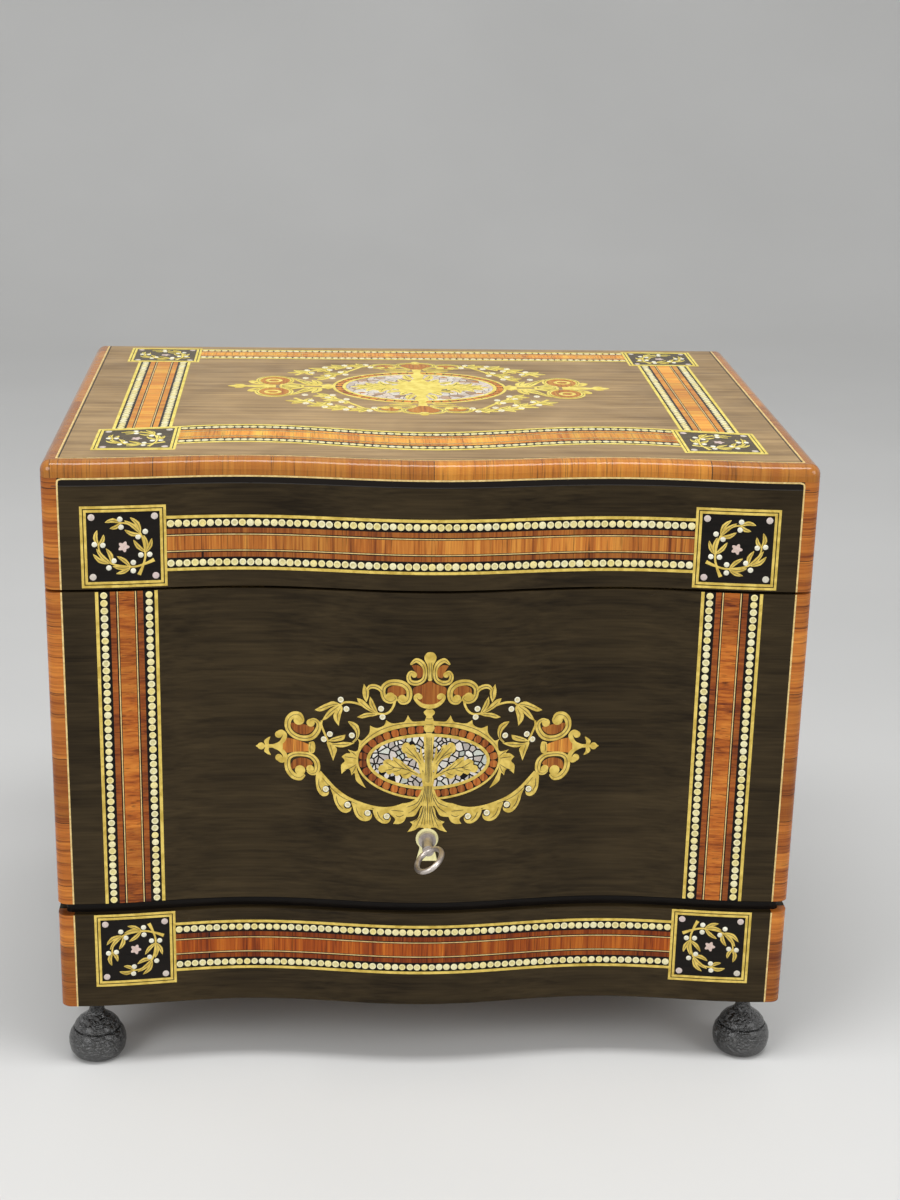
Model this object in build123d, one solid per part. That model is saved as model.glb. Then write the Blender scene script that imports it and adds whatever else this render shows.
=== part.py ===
from build123d import *
import os
from math import cos, pi, radians, sin

# Antique liqueur cabinet with a serpentine front, in millimetres.
# The lid is hinged along the back. The front panel hangs from the lid's front frieze on hidden
# hinges and locks down into the plinth. The two sides are wings hinged at the rear corners.
# Inside stands a rack with four square decanters and sixteen stemmed glasses.
# The frame has +Z up and the front towards -Y. The origin lies on the floor, under the middle
# of the whole object with its key and its lid hinges.

# Case
case_width = 335.0
case_depth = 250.0
corner_radius = 5.0
serpentine_depth = 7.2
serpentine_pitch = 160.0
curve_steps = 32

# Heights, from the floor up
foot_height = 32.0
plinth_height = 46.5
reveal_height = 5.7
panel_height = 148.7
seam_gap = 1.2
lid_height = 56.7

# Thicknesses of the boards
front_thickness = 15.0
side_thickness = 9.0
back_thickness = 9.0
plinth_side_thickness = 12.0
plinth_back_thickness = 12.0
lid_board_thickness = 10.5
base_board_thickness = 8.0
floor_drop = 10.0

# Rosewood edging, lid nosing and plinth moulding
edging_width = 7.4
nosing_width = 6.4
nosing_height = 7.0
nosing_radius = 4.5
moulding_setback = 3.5
moulding_radius = 2.2
moulding_corner_radius = 3.0

# Running gaps between the pieces that move past each other
panel_gap = 0.8
wing_rear_gap = 0.5

# Marquetry, let in flush
inlay_thickness = 0.9
plaque_size = 36.5
plaque_inner_edge = 114.5
frieze_plaque_rise = 0.7
plinth_plaque_rise = 10.0
horizontal_band_height = 25.0
frieze_band_rise = 7.2
plinth_band_rise = 15.6
front_band_inner_edge = 118.8
front_band_width = 26.8
front_medallion_half_width = 77.0
front_medallion_half_height = 44.0
front_medallion_rise = 77.3
lid_medallion_half_width = 93.0
lid_medallion_half_depth = 58.0
lid_medallion_setback = 151.0
medallion_bow = 1.08
lid_front_plaque_setback = 21.0
lid_front_plaque_depth = 37.5
lid_front_plaque_flare = 7.5
lid_front_plaque_skew = 1.8
lid_back_plaque_setback = 206.5
lid_plaque_outer_edge = 147.8
lid_back_plaque_depth = 34.5
lid_band_inner_edge = 115.5
lid_side_band_width = 26.5
lid_front_band_setback = 24.5
lid_front_band_width = 33.0
lid_front_band_swing = 13.0
lid_back_band_setback = 216.5
lid_back_band_width = 22.5

# Feet, as radii and heights of the turned shape
foot_inset = 14.5
foot_sole_radius = 9.0
foot_ball_radius = 13.4
foot_ball_height = 8.2
foot_groove_radius = 8.4
foot_groove_height = 16.2
foot_collar_radius = 9.2
foot_collar_height = 17.4
foot_neck_radius = 3.3
foot_neck_height = 24.5
foot_flare_radius = 6.2
foot_tenon_radius = 4.0
foot_tenon_length = 12.0
corner_block_size = 26.0

# Hinges
pin_clearance = 0.05
knuckle_gap = 0.3
lid_hinge_spacing = 200.0
lid_hinge_length = 45.0
lid_knuckle_radius = 3.2
lid_pin_radius = 1.5
lid_hinge_offset = 3.5
lid_leaf_reach = 7.5
lid_leaf_thickness = 1.0
lid_heel_length = 7.0
lid_heel_thickness = 2.2
lid_open_angle = 95.0
stop_clearance = 0.15
wing_hinge_length = 36.0
wing_hinge_margin = 34.0
wing_knuckle_radius = 2.6
wing_pin_radius = 1.2
wing_hinge_offset = 2.9
wing_leaf_reach = 7.5
wing_leaf_thickness = 1.0
front_hinge_spacing = 190.0
front_hinge_length = 45.0
front_knuckle_radius = 2.5
front_pin_radius = 1.1
front_hinge_offset = 2.8
front_leaf_height = 16.0
front_leaf_thickness = 1.0

# Lock, bolt, key and escutcheon
key_axis_rise = 32.2
lock_width = 44.0
lock_height = 48.0
lock_depth = 10.0
lock_wall = 1.2
selvedge_thickness = 2.0
bolt_width = 17.0
bolt_thickness = 3.0
bolt_height = 44.0
bolt_retreat = 0.4
bolt_throw = 5.5
bolt_clearance = 0.3
key_turn = 64.0
key_stem_radius = 2.6
key_hole_clearance = 0.5
key_bit_reach = 6.0
key_bit_thickness = 1.8
key_bit_width = 2.4
key_collar_radius = 3.95
key_collar_thickness = 2.0
key_bow_width = 15.2
key_bow_length = 21.5
key_bow_wire_radius = 1.25
key_bow_reach = 33.8
escutcheon_radius = 5.1
escutcheon_drop = 10.8
escutcheon_foot_width = 9.6
escutcheon_waist_width = 6.8
escutcheon_waist_drop = 5.0
escutcheon_thickness = 1.5
escutcheon_stand = 0.5
keyhole_slot_width = 2.6
keyhole_slot_drop = 7.6
strike_length = 30.0
strike_width = 8.2
strike_thickness = 1.5
strike_slot_clearance = 1.0
strike_slot_depth = 11.0

# Rack
rack_clearance = 0.75
rack_usual_half_width = 154.75
tray_thickness = 8.0
tray_recess = 2.0
tray_recess_clearance = 0.5
gallery_rise = 52.0
gallery_thickness = 1.5
gallery_clearance = 1.0
gallery_inset = 2.0
rack_post_radius = 2.5
rack_post_inset = 6.5
rack_post_height = 58.0
rack_finial_radius = 3.6
handle_rod_radius = 2.4
handle_wire_radius = 2.6
handle_clearance = 9.8
handle_width = 56.0
handle_height = 32.0

# Decanters, stoppers and glasses
decanter_pitch = 84.0
decanter_width = 78.0
decanter_edge_radius = 8.0
decanter_body_height = 126.0
decanter_shoulder_radius = 12.0
decanter_wall = 3.5
decanter_base = 6.0
decanter_neck_radius = 13.0
decanter_neck_height = 28.0
decanter_lip_radius = 17.0
decanter_lip_height = 4.0
decanter_bore_radius = 8.5
stopper_plug_length = 13.0
stopper_flange_radius = 12.5
stopper_flange_height = 2.5
stopper_knob_radius = 15.0
stopper_knob_height = 26.0
stopper_knob_bevel = 6.0
stopper_sides = 8
glass_height = 84.0
glass_foot_radius = 15.0
glass_foot_thickness = 2.0
glass_stem_radius = 2.8
glass_stem_height = 28.0
glass_bowl_radius = 15.5
glass_rim_radius = 15.0
glass_wall = 1.4
glass_bowl_floor = 4.0
glass_crown_radius = 5.6
glass_crown_height = 3.2
glass_stem_flare_radius = 3.4
glass_bowl_base_radius = 12.4
glass_bowl_base_rise = 7.0
glass_hollow_base_rise = 9.0
glass_column_pitch = 36.0
glass_first_column = 100.0
glass_row_pitch = 52.0
glass_rows = 4

# Levels and planes worked out from the sizes above
plinth_bottom = foot_height
plinth_top = plinth_bottom + plinth_height
panel_bottom = plinth_top + reveal_height
panel_top = panel_bottom + panel_height
lid_bottom = panel_top + seam_gap
lid_top = lid_bottom + lid_height
board_bottom = lid_top - lid_board_thickness
nosing_bottom = lid_top - nosing_height
seam_level = (panel_top + lid_bottom) / 2
floor_level = plinth_top - floor_drop
half_width = case_width / 2
lid_over_turn = lid_open_angle - 90
heel_depth = lid_hinge_offset - stop_clearance
heel_reach = lid_heel_length * cos(radians(lid_over_turn)) + heel_depth * sin(radians(lid_over_turn))
rear_reach = lid_hinge_offset + heel_reach
front_y = (key_bow_reach - case_depth - rear_reach) / 2
back_y = front_y + case_depth
front_inner_y = front_y + front_thickness
back_inner_y = back_y - back_thickness
plinth_back_inner_y = back_y - plinth_back_thickness
plinth_inner_x = half_width - plinth_side_thickness
wing_inner_x = half_width - side_thickness
wing_front_y = front_inner_y + panel_gap
wing_rear_y = back_inner_y - wing_rear_gap
moulding_top = panel_bottom - panel_gap
key_axis_z = panel_bottom + key_axis_rise
lock_front_y = front_inner_y - lock_depth
bolt_y = front_inner_y - lock_depth / 2
tray_bottom = floor_level
tray_top = tray_bottom + tray_thickness
standing_level = tray_top - tray_recess
rack_half_width = plinth_inner_x - rack_clearance
rack_front_y = front_inner_y + rack_clearance
rack_back_y = plinth_back_inner_y - rack_clearance
rack_centre_y = (rack_front_y + rack_back_y) / 2
rack_share = rack_half_width / rack_usual_half_width
decanter_spacing = decanter_pitch * rack_share
decanter_side = decanter_width * rack_share
glass_columns_from = glass_first_column * rack_share
glass_column_spacing = glass_column_pitch * rack_share
glass_foot = glass_foot_radius * rack_share
glass_belly = glass_bowl_radius * rack_share
glass_rim = glass_rim_radius * rack_share
glass_bowl_base = glass_bowl_base_radius * rack_share
overrun = 2.0
sides = (-1, 1)


def slab(x0, x1, y0, y1, z0, z1):
    """Box between two opposite corners."""
    size = (abs(x1 - x0), abs(y1 - y0), abs(z1 - z0))
    return Pos((x0 + x1) / 2, (y0 + y1) / 2, (z0 + z1) / 2) * Box(*size)


def rod(x, y, z0, z1, radius):
    """Upright round rod."""
    return Pos(x, y, (z0 + z1) / 2) * Cylinder(radius, z1 - z0)


def serpentine(x, swing):
    """How far the front curve lies behind its foremost line at x."""
    return swing / 2 * (1 - cos(2 * pi * x / serpentine_pitch))


def front_curve(setback, half, swing=serpentine_depth):
    """Serpentine line across the front, moved back by setback."""
    points = []
    for i in range(curve_steps + 1):
        x = -half + 2 * half * i / curve_steps
        points.append((x, front_y + setback + serpentine(x, swing)))
    return Spline(*points)


def case_prism(z0, z1, side_inset=0.0, front_setback=0.0, radius=corner_radius):
    """The case outline as a solid between two heights, with its upright corners rounded."""
    half = half_width - side_inset
    front = front_curve(front_setback, half)
    rest = Polyline(front @ 1, (half, back_y), (-half, back_y), front @ 0)
    prism = Pos(0, 0, z0) * extrude(make_face(front + rest), z1 - z0)
    if radius > 0:
        prism = fillet(prism.edges().filter_by(Axis.Z), radius)
    return prism


def serpentine_plate(x0, x1, z0, z1, near, far, swing=serpentine_depth):
    """Plate between two parallel serpentine curves, cut off at x0 and x1."""
    front = front_curve(near, half_width, swing)
    rear = front_curve(far, half_width, swing)
    ends = Line(front @ 1, rear @ 1) + Line(front @ 0, rear @ 0)
    plate = Pos(0, 0, z0) * extrude(make_face(front + rear + ends), z1 - z0)
    return plate & slab(x0, x1, front_y - case_depth, back_y, z0, z1)


def edging(sx, front, z0, z1):
    """Rosewood strip on one upright corner of the case."""
    x0 = sx * (half_width - edging_width)
    x1 = sx * (half_width + overrun)
    if front:
        y0, y1 = front_y - overrun, front_y + edging_width
    else:
        y0, y1 = back_y - edging_width, back_y + overrun
    return case_prism(z0, z1) & slab(x0, x1, y0, y1, z0, z1)


def edgings(corners, z0, z1):
    """Strips on the named corners, between two heights."""
    return [edging(sx, front, z0, z1) for sx, front in corners]


all_corners = [(sx, front) for front in (True, False) for sx in sides]
front_corners = [(sx, True) for sx in sides]
back_corners = [(sx, False) for sx in sides]


def cut(solid, tools):
    """Solid with every tool taken away."""
    for tool in tools:
        solid = solid - tool
    return solid


def front_inlay(x0, x1, z0, z1):
    """Marquetry plate lying flush in the serpentine face."""
    return serpentine_plate(x0, x1, z0, z1, 0, inlay_thickness)


def front_pocket(x0, x1, z0, z1):
    """Pocket for such a plate."""
    return serpentine_plate(x0, x1, z0, z1, -overrun, inlay_thickness)


def front_plaque_spans(z0):
    """Edges of the left and right square plaques of a horizontal band."""
    outer = plaque_inner_edge + plaque_size
    spans = [(plaque_inner_edge, outer), (-outer, -plaque_inner_edge)]
    return [(x0, x1, z0, z0 + plaque_size) for x0, x1 in spans]


def medallion_outline(half_long, half_short):
    """Lozenge with slightly bowed sides, about the plane's origin."""
    corners = [(half_long, 0), (0, half_short), (-half_long, 0), (0, -half_short)]
    edges = []
    for i in range(4):
        (xa, ya), (xb, yb) = corners[i], corners[(i + 1) % 4]
        middle = ((xa + xb) / 2 * medallion_bow, (ya + yb) / 2 * medallion_bow)
        edges.append(ThreePointArc(corners[i], middle, corners[(i + 1) % 4]))
    return make_face(edges)


# Hinges, each drawn about a local X axis with its leaves on the local -Y side
def knuckles(length, radius, bore, turns):
    """Barrel pieces at the given thirds of the hinge, with their bore."""
    third = length / 3
    pieces = []
    for turn in turns:
        start = -length / 2 + turn * third + knuckle_gap / 2
        end = start + third - knuckle_gap
        barrel = Pos((start + end) / 2, 0, 0) * Rot(0, 90, 0) * Cylinder(radius, end - start)
        hole = Pos((start + end) / 2, 0, 0) * Rot(0, 90, 0) * Cylinder(bore, end - start)
        pieces.append((start, end, barrel, hole))
    return pieces


def edge_leaf(side, turns, length, radius, bore, offset, reach, thickness, gap):
    """Leaf let into a meeting edge, above the axis for side 1 and below it for side -1."""
    z0, z1 = side * gap / 2, side * (gap / 2 + thickness)
    leaf = slab(-length / 2, length / 2, -offset - reach, -offset, z0, z1)
    holes = []
    for start, end, barrel, hole in knuckles(length, radius, bore, turns):
        leaf += slab(start, end, -offset - overrun, 0, z0, z1) + barrel
        holes.append(hole)
    return cut(leaf, holes)


def face_leaf(side, turns, length, radius, bore, offset, height, thickness, gap):
    """Leaf let into an inner face, above the axis for side 1 and below it for side -1."""
    z0 = side * gap / 2
    leaf = slab(-length / 2, length / 2, -offset - thickness, -offset, z0, side * (gap / 2 + height))
    holes = []
    for start, end, barrel, hole in knuckles(length, radius, bore, turns):
        leaf += slab(start, end, -offset - thickness, 0, z0, side * (gap / 2 + thickness)) + barrel
        holes.append(hole)
    return cut(leaf, holes)


def hinge_pin(length, radius):
    """Pin through all the knuckles."""
    return Rot(0, 90, 0) * Cylinder(radius, length)


def heel():
    """Tail on the lid's knuckle that lands on the back panel when the lid is fully open."""
    third = lid_hinge_length / 3 - knuckle_gap
    tail = slab(-third / 2, third / 2, 0, lid_heel_length, -heel_depth, lid_heel_thickness - heel_depth)
    return Rot(lid_over_turn, 0, 0) * tail


outer_thirds = (0, 2)
middle_third = (1,)

# Lid hinges: two pairs of leaves let into the seam, with the axis behind the back
lid_axis_y = back_y + lid_hinge_offset
lid_hinge_places = [Pos(sx * lid_hinge_spacing / 2, lid_axis_y, seam_level) for sx in sides]
lid_leaf_sizes = (lid_hinge_offset, lid_leaf_reach, lid_leaf_thickness, seam_gap)
case_leaf = edge_leaf(
    -1, outer_thirds, lid_hinge_length, lid_knuckle_radius, lid_pin_radius, *lid_leaf_sizes
)
lid_bore_radius = lid_pin_radius + pin_clearance
lid_leaf = edge_leaf(
    1, middle_third, lid_hinge_length, lid_knuckle_radius, lid_bore_radius, *lid_leaf_sizes
)
lid_bore = Rot(0, 90, 0) * Cylinder(lid_bore_radius, lid_hinge_length)
lid_leaf = lid_leaf + heel() - lid_bore
lid_hinge_case_leaves = [place * case_leaf for place in lid_hinge_places]
lid_hinge_lid_leaves = [place * lid_leaf for place in lid_hinge_places]
lid_hinge_pins = [place * hinge_pin(lid_hinge_length, lid_pin_radius) for place in lid_hinge_places]

# Wing hinges: two a side, let into the upright joint between the wing and the back panel
wing_axis_x = half_width + wing_hinge_offset
wing_axis_y = (wing_rear_y + back_inner_y) / 2
wing_hinge_levels = (panel_bottom + wing_hinge_margin, panel_top - wing_hinge_margin)
wing_leaf_sizes = (wing_hinge_offset, wing_leaf_reach, wing_leaf_thickness, wing_rear_gap)
back_leaf = edge_leaf(
    -1, outer_thirds, wing_hinge_length, wing_knuckle_radius, wing_pin_radius, *wing_leaf_sizes
)
wing_bore_radius = wing_pin_radius + pin_clearance
wing_leaf = edge_leaf(
    1, middle_third, wing_hinge_length, wing_knuckle_radius, wing_bore_radius, *wing_leaf_sizes
)


def wing_place(sx, level):
    """Turns a hinge drawn along X upright, with its leaves towards the case."""
    upright = Plane(
        origin=(sx * wing_axis_x, wing_axis_y, level), x_dir=(0, 0, -sx), z_dir=(0, -1, 0)
    )
    return upright.location


def wing_hinge_set(sx, piece):
    """The same hinge piece at both levels of one side."""
    return [wing_place(sx, level) * piece for level in wing_hinge_levels]


wing_pin = hinge_pin(wing_hinge_length, wing_pin_radius)

# Front hinges: hidden inside, between the lid's front frieze and the front panel
front_axis_y = front_inner_y + front_hinge_offset
front_hinge_places = [Pos(sx * front_hinge_spacing / 2, front_axis_y, seam_level) for sx in sides]
front_leaf_sizes = (front_hinge_offset, front_leaf_height, front_leaf_thickness, seam_gap)
frieze_leaf = face_leaf(
    1, outer_thirds, front_hinge_length, front_knuckle_radius, front_pin_radius, *front_leaf_sizes
)
panel_leaf = face_leaf(
    -1,
    middle_third,
    front_hinge_length,
    front_knuckle_radius,
    front_pin_radius + pin_clearance,
    *front_leaf_sizes,
)
front_hinge_lid_leaves = [place * frieze_leaf for place in front_hinge_places]
front_hinge_panel_leaves = [place * panel_leaf for place in front_hinge_places]
front_pin = hinge_pin(front_hinge_length, front_pin_radius)
front_hinge_pins = [place * front_pin for place in front_hinge_places]

# Plinth
plinth_prism = case_prism(plinth_bottom, plinth_top)
plinth_edgings = edgings(all_corners, plinth_bottom, plinth_top)
plinth_plaque_spans = front_plaque_spans(plinth_bottom + plinth_plaque_rise)
plinth_band_span = (
    -plaque_inner_edge,
    plaque_inner_edge,
    plinth_bottom + plinth_band_rise,
    plinth_bottom + plinth_band_rise + horizontal_band_height,
)
plinth_inlay_spans = plinth_plaque_spans + [plinth_band_span]
plinth_span = (plinth_bottom, plinth_top)
front_zone = (-half_width, half_width, front_y - overrun, front_inner_y)
plinth_back_zone = (-half_width, half_width, plinth_back_inner_y, back_y + overrun)
back_zone = (-half_width, half_width, back_inner_y, back_y + overrun)
plinth_front_rail = plinth_prism & slab(*front_zone, *plinth_span)
plinth_back_rail = plinth_prism & slab(*plinth_back_zone, *plinth_span)
plinth_front_rail = cut(plinth_front_rail, plinth_edgings[:2])
plinth_front_rail = cut(plinth_front_rail, [front_pocket(*span) for span in plinth_inlay_spans])
plinth_back_rail = cut(plinth_back_rail, plinth_edgings[2:])
plinth_side_rails = [
    slab(sx * plinth_inner_x, sx * half_width, front_inner_y, plinth_back_inner_y, *plinth_span)
    for sx in sides
]
plinth_plaques = [front_inlay(*span) for span in plinth_plaque_spans]
plinth_band = front_inlay(*plinth_band_span)

# Floor of the case, with the blocks that take the feet
base_board = slab(
    -plinth_inner_x,
    plinth_inner_x,
    front_inner_y,
    plinth_back_inner_y,
    floor_level - base_board_thickness,
    floor_level,
)


def corner_block(sx, front):
    """Glue block in one corner, under the floor."""
    x0 = sx * (plinth_inner_x - corner_block_size)
    if front:
        y0, y1 = front_inner_y, front_inner_y + corner_block_size
    else:
        y0, y1 = plinth_back_inner_y - corner_block_size, plinth_back_inner_y
    return slab(x0, sx * plinth_inner_x, y0, y1, plinth_bottom, floor_level - base_board_thickness)


def foot_centre(sx, front):
    """Where one foot stands."""
    y = front_y + foot_inset if front else back_y - foot_inset
    return sx * (half_width - foot_inset), y


def foot(sx, front):
    """Turned foot: flattened ball, collar, thin neck, flared top and tenon."""
    profile = Polyline((0, 0), (foot_sole_radius, 0))
    groove = (foot_groove_radius, foot_groove_height)
    collar = (foot_collar_radius, foot_collar_height)
    profile += ThreePointArc((foot_sole_radius, 0), (foot_ball_radius, foot_ball_height), groove)
    profile += Line(groove, collar)
    profile += Spline(collar, (foot_neck_radius, foot_neck_height), (foot_flare_radius, foot_height))
    profile += Polyline(
        (foot_flare_radius, foot_height),
        (foot_tenon_radius, foot_height),
        (foot_tenon_radius, foot_height + foot_tenon_length),
        (0, foot_height + foot_tenon_length),
        (0, 0),
    )
    x, y = foot_centre(sx, front)
    return Pos(x, y, 0) * revolve(Plane.XZ * make_face(profile), Axis.Z)


feet = {(sx, front): foot(sx, front) for sx, front in all_corners}
tenon_holes = []
for sx, front in all_corners:
    foot_x, foot_y = foot_centre(sx, front)
    tenon_holes.append(
        rod(foot_x, foot_y, plinth_bottom - overrun, plinth_bottom + foot_tenon_length, foot_tenon_radius)
    )
corner_blocks = [cut(corner_block(sx, front), tenon_holes) for sx, front in all_corners]
plinth_front_rail = cut(plinth_front_rail, tenon_holes)
plinth_back_rail = cut(plinth_back_rail, tenon_holes)
plinth_side_rails = [cut(rail, tenon_holes) for rail in plinth_side_rails]

# Black moulding in the reveal above the plinth, on the front and both sides
moulding = case_prism(plinth_top, moulding_top, moulding_setback, moulding_setback, moulding_corner_radius)
moulding = fillet(moulding.edges().group_by(Axis.Z)[-1], moulding_radius)
moulding -= slab(
    -plinth_inner_x, plinth_inner_x, front_inner_y, back_y + overrun, plinth_top, moulding_top + overrun
)
moulding -= slab(
    -half_width, half_width, back_inner_y, back_y + overrun, plinth_top - overrun, moulding_top + overrun
)

# Back panel
back_prism = case_prism(plinth_top, panel_top)
back_edgings = edgings(back_corners, plinth_top, panel_top)
back_panel = back_prism & slab(*back_zone, plinth_top, panel_top)
back_panel = cut(back_panel, back_edgings + lid_hinge_case_leaves)
left_hinge_case_leaves = wing_hinge_set(-1, back_leaf)
right_hinge_case_leaves = wing_hinge_set(1, back_leaf)
back_panel = cut(back_panel, left_hinge_case_leaves + right_hinge_case_leaves)
case_edgings = plinth_edgings + back_edgings

# Wings
def wing(sx):
    """Side panel that opens outwards about its rear edge."""
    board = slab(sx * wing_inner_x, sx * half_width, wing_front_y, wing_rear_y, panel_bottom, panel_top)
    return cut(board, wing_hinge_set(sx, wing_leaf))


# Lid
lid_edgings = edgings(all_corners, lid_bottom, board_bottom)
board_edgings = edgings(all_corners, board_bottom, nosing_bottom)
frieze_prism = case_prism(lid_bottom, board_bottom)
frieze_span = (lid_bottom, board_bottom)
frieze_plaque_spans = front_plaque_spans(lid_bottom + frieze_plaque_rise)
frieze_band_span = (
    -plaque_inner_edge,
    plaque_inner_edge,
    lid_bottom + frieze_band_rise,
    lid_bottom + frieze_band_rise + horizontal_band_height,
)
frieze_inlay_spans = frieze_plaque_spans + [frieze_band_span]
lid_front_frieze = frieze_prism & slab(*front_zone, *frieze_span)
lid_front_frieze = cut(lid_front_frieze, lid_edgings[:2] + front_hinge_lid_leaves)
lid_front_frieze = cut(lid_front_frieze, [front_pocket(*span) for span in frieze_inlay_spans])
lid_back_frieze = frieze_prism & slab(*back_zone, *frieze_span)
lid_back_frieze = cut(lid_back_frieze, lid_edgings[2:] + lid_hinge_lid_leaves)
lid_side_friezes = [
    slab(sx * wing_inner_x, sx * half_width, front_inner_y, back_inner_y, *frieze_span) for sx in sides
]
lid_frieze_plaques = [front_inlay(*span) for span in frieze_plaque_spans]
lid_frieze_band = front_inlay(*frieze_band_span)

board_prism = case_prism(board_bottom, lid_top)
board_prism = fillet(board_prism.edges().group_by(Axis.Z)[-1], nosing_radius)
nosing_field = case_prism(nosing_bottom, lid_top, nosing_width, nosing_width, radius=0)
lid_edge_nosing = (board_prism - nosing_field) & slab(
    -half_width, half_width, front_y - overrun, back_y + overrun, nosing_bottom, lid_top
)

inlay_floor = lid_top - inlay_thickness


def top_quad(sx, inner, outer, near_inner, near_outer, far_inner, far_outer, z0, z1):
    """Four-sided plate in the lid's top, given by its edges' setbacks from the front."""
    corners = [
        (sx * inner, front_y + near_inner),
        (sx * outer, front_y + near_outer),
        (sx * outer, front_y + far_outer),
        (sx * inner, front_y + far_inner),
    ]
    return Pos(0, 0, z0) * extrude(make_face(Polyline(*corners, close=True)), z1 - z0)


def lid_plaques(z0, z1):
    """Plaques at the four corners of the lid's top."""
    plates = []
    near = lid_front_plaque_setback
    far = near + lid_front_plaque_depth
    back_near = lid_back_plaque_setback
    back_far = back_near + lid_back_plaque_depth
    for sx in sides:
        inner, outer = lid_plaque_outer_edge - plaque_size, lid_plaque_outer_edge
        flared = far + lid_front_plaque_flare
        skewed = near + lid_front_plaque_skew
        plates.append(top_quad(sx, inner, outer, skewed, near, flared, far, z0, z1))
        plates.append(top_quad(sx, inner, outer, back_near, back_near, back_far, back_far, z0, z1))
    return plates


def lid_bands(z0, z1):
    """Bands between the plaques: serpentine at the front, straight on the other sides."""
    inner = lid_plaque_outer_edge - plaque_size
    near = lid_front_band_setback
    front = serpentine_plate(-inner, inner, z0, z1, near, near + lid_front_band_width, lid_front_band_swing)
    back_near = front_y + lid_back_band_setback
    back = slab(-inner, inner, back_near, back_near + lid_back_band_width, z0, z1)
    bands = [front, back]
    side_far = front_y + lid_back_plaque_setback
    side_near = front_y + lid_front_plaque_setback + lid_front_plaque_depth
    for sx in sides:
        x0, x1 = sx * lid_band_inner_edge, sx * (lid_band_inner_edge + lid_side_band_width)
        strip = slab(x0, x1, side_near, side_far, z0, z1)
        bands.append(cut(strip, lid_plaques(z0, z1)))
    return bands


def lid_centre(z0, z1):
    """Medallion plate in the middle of the lid's top."""
    face = medallion_outline(lid_medallion_half_width, lid_medallion_half_depth)
    return Pos(0, front_y + lid_medallion_setback, z0) * extrude(face, z1 - z0)


lid_top_plaques = lid_plaques(inlay_floor, lid_top)
lid_top_bands = lid_bands(inlay_floor, lid_top)
lid_medallion = lid_centre(inlay_floor, lid_top)
lid_board = cut(board_prism - lid_edge_nosing, board_edgings)
lid_board = cut(lid_board, lid_plaques(inlay_floor, lid_top + overrun))
lid_board = cut(lid_board, lid_bands(inlay_floor, lid_top + overrun))
lid_board = cut(lid_board, [lid_centre(inlay_floor, lid_top + overrun)])
lid_edgings += board_edgings

# Front panel
front_prism = case_prism(panel_bottom, panel_top)
front_edgings = edgings(front_corners, panel_bottom, panel_top)
front_band_outer = front_band_inner_edge + front_band_width
front_band_spans = [
    (-front_band_outer, -front_band_inner_edge, panel_bottom, panel_top),
    (front_band_inner_edge, front_band_outer, panel_bottom, panel_top),
]
front_bands = [front_inlay(*span) for span in front_band_spans]
medallion_z = panel_bottom + front_medallion_rise


def front_centre(near):
    """Medallion plate in the middle of the front panel."""
    face = medallion_outline(front_medallion_half_width, front_medallion_half_height)
    prism = Pos(0, front_y + case_depth / 4, medallion_z) * Rot(90, 0, 0) * extrude(face, case_depth / 2)
    plate = serpentine_plate(-half_width, half_width, panel_bottom, panel_top, near, inlay_thickness)
    return prism & plate


front_medallion = front_centre(0)


def keyhole(y0, y1, radius):
    """Round hole with the slot for the bit below it."""
    barrel = Pos(0, (y0 + y1) / 2, key_axis_z) * Rot(90, 0, 0) * Cylinder(radius, y1 - y0)
    half = keyhole_slot_width / 2
    return barrel + slab(-half, half, y0, y1, key_axis_z - keyhole_slot_drop, key_axis_z)


def escutcheon_plate(y0, y1):
    """Brass plate with a round head and a flared skirt."""
    waist, foot_half = escutcheon_waist_width / 2, escutcheon_foot_width / 2
    skirt = Polyline(
        (-waist, 0),
        (-waist, -escutcheon_waist_drop),
        (-foot_half, -escutcheon_drop),
        (foot_half, -escutcheon_drop),
        (waist, -escutcheon_waist_drop),
        (waist, 0),
        close=True,
    )
    face = make_face(skirt) + Circle(escutcheon_radius)
    return Pos(0, y1, key_axis_z) * Rot(90, 0, 0) * extrude(face, y1 - y0)


key_hole_radius = key_stem_radius + key_hole_clearance
escutcheon_back_y = front_y - escutcheon_stand + escutcheon_thickness
escutcheon = escutcheon_plate(front_y - escutcheon_stand, escutcheon_back_y)
escutcheon -= keyhole(front_y - overrun, escutcheon_back_y + overrun, key_hole_radius)
lock_top = panel_bottom + lock_height
lock_block = slab(-lock_width / 2, lock_width / 2, lock_front_y, front_inner_y, panel_bottom, lock_top)
front_panel = front_prism & slab(*front_zone, panel_bottom, panel_top)
front_panel = cut(front_panel, front_edgings + front_hinge_panel_leaves)
front_panel = cut(front_panel, [front_pocket(*span) for span in front_band_spans])
front_panel = cut(front_panel, [front_centre(-overrun), lock_block])
front_panel = cut(front_panel, [keyhole(front_y - overrun, lock_front_y + overrun, key_hole_radius)])
front_panel = cut(front_panel, [escutcheon_plate(front_y - overrun, escutcheon_back_y)])
front_medallion = cut(front_medallion, [escutcheon_plate(front_y - overrun, escutcheon_back_y)])

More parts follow.
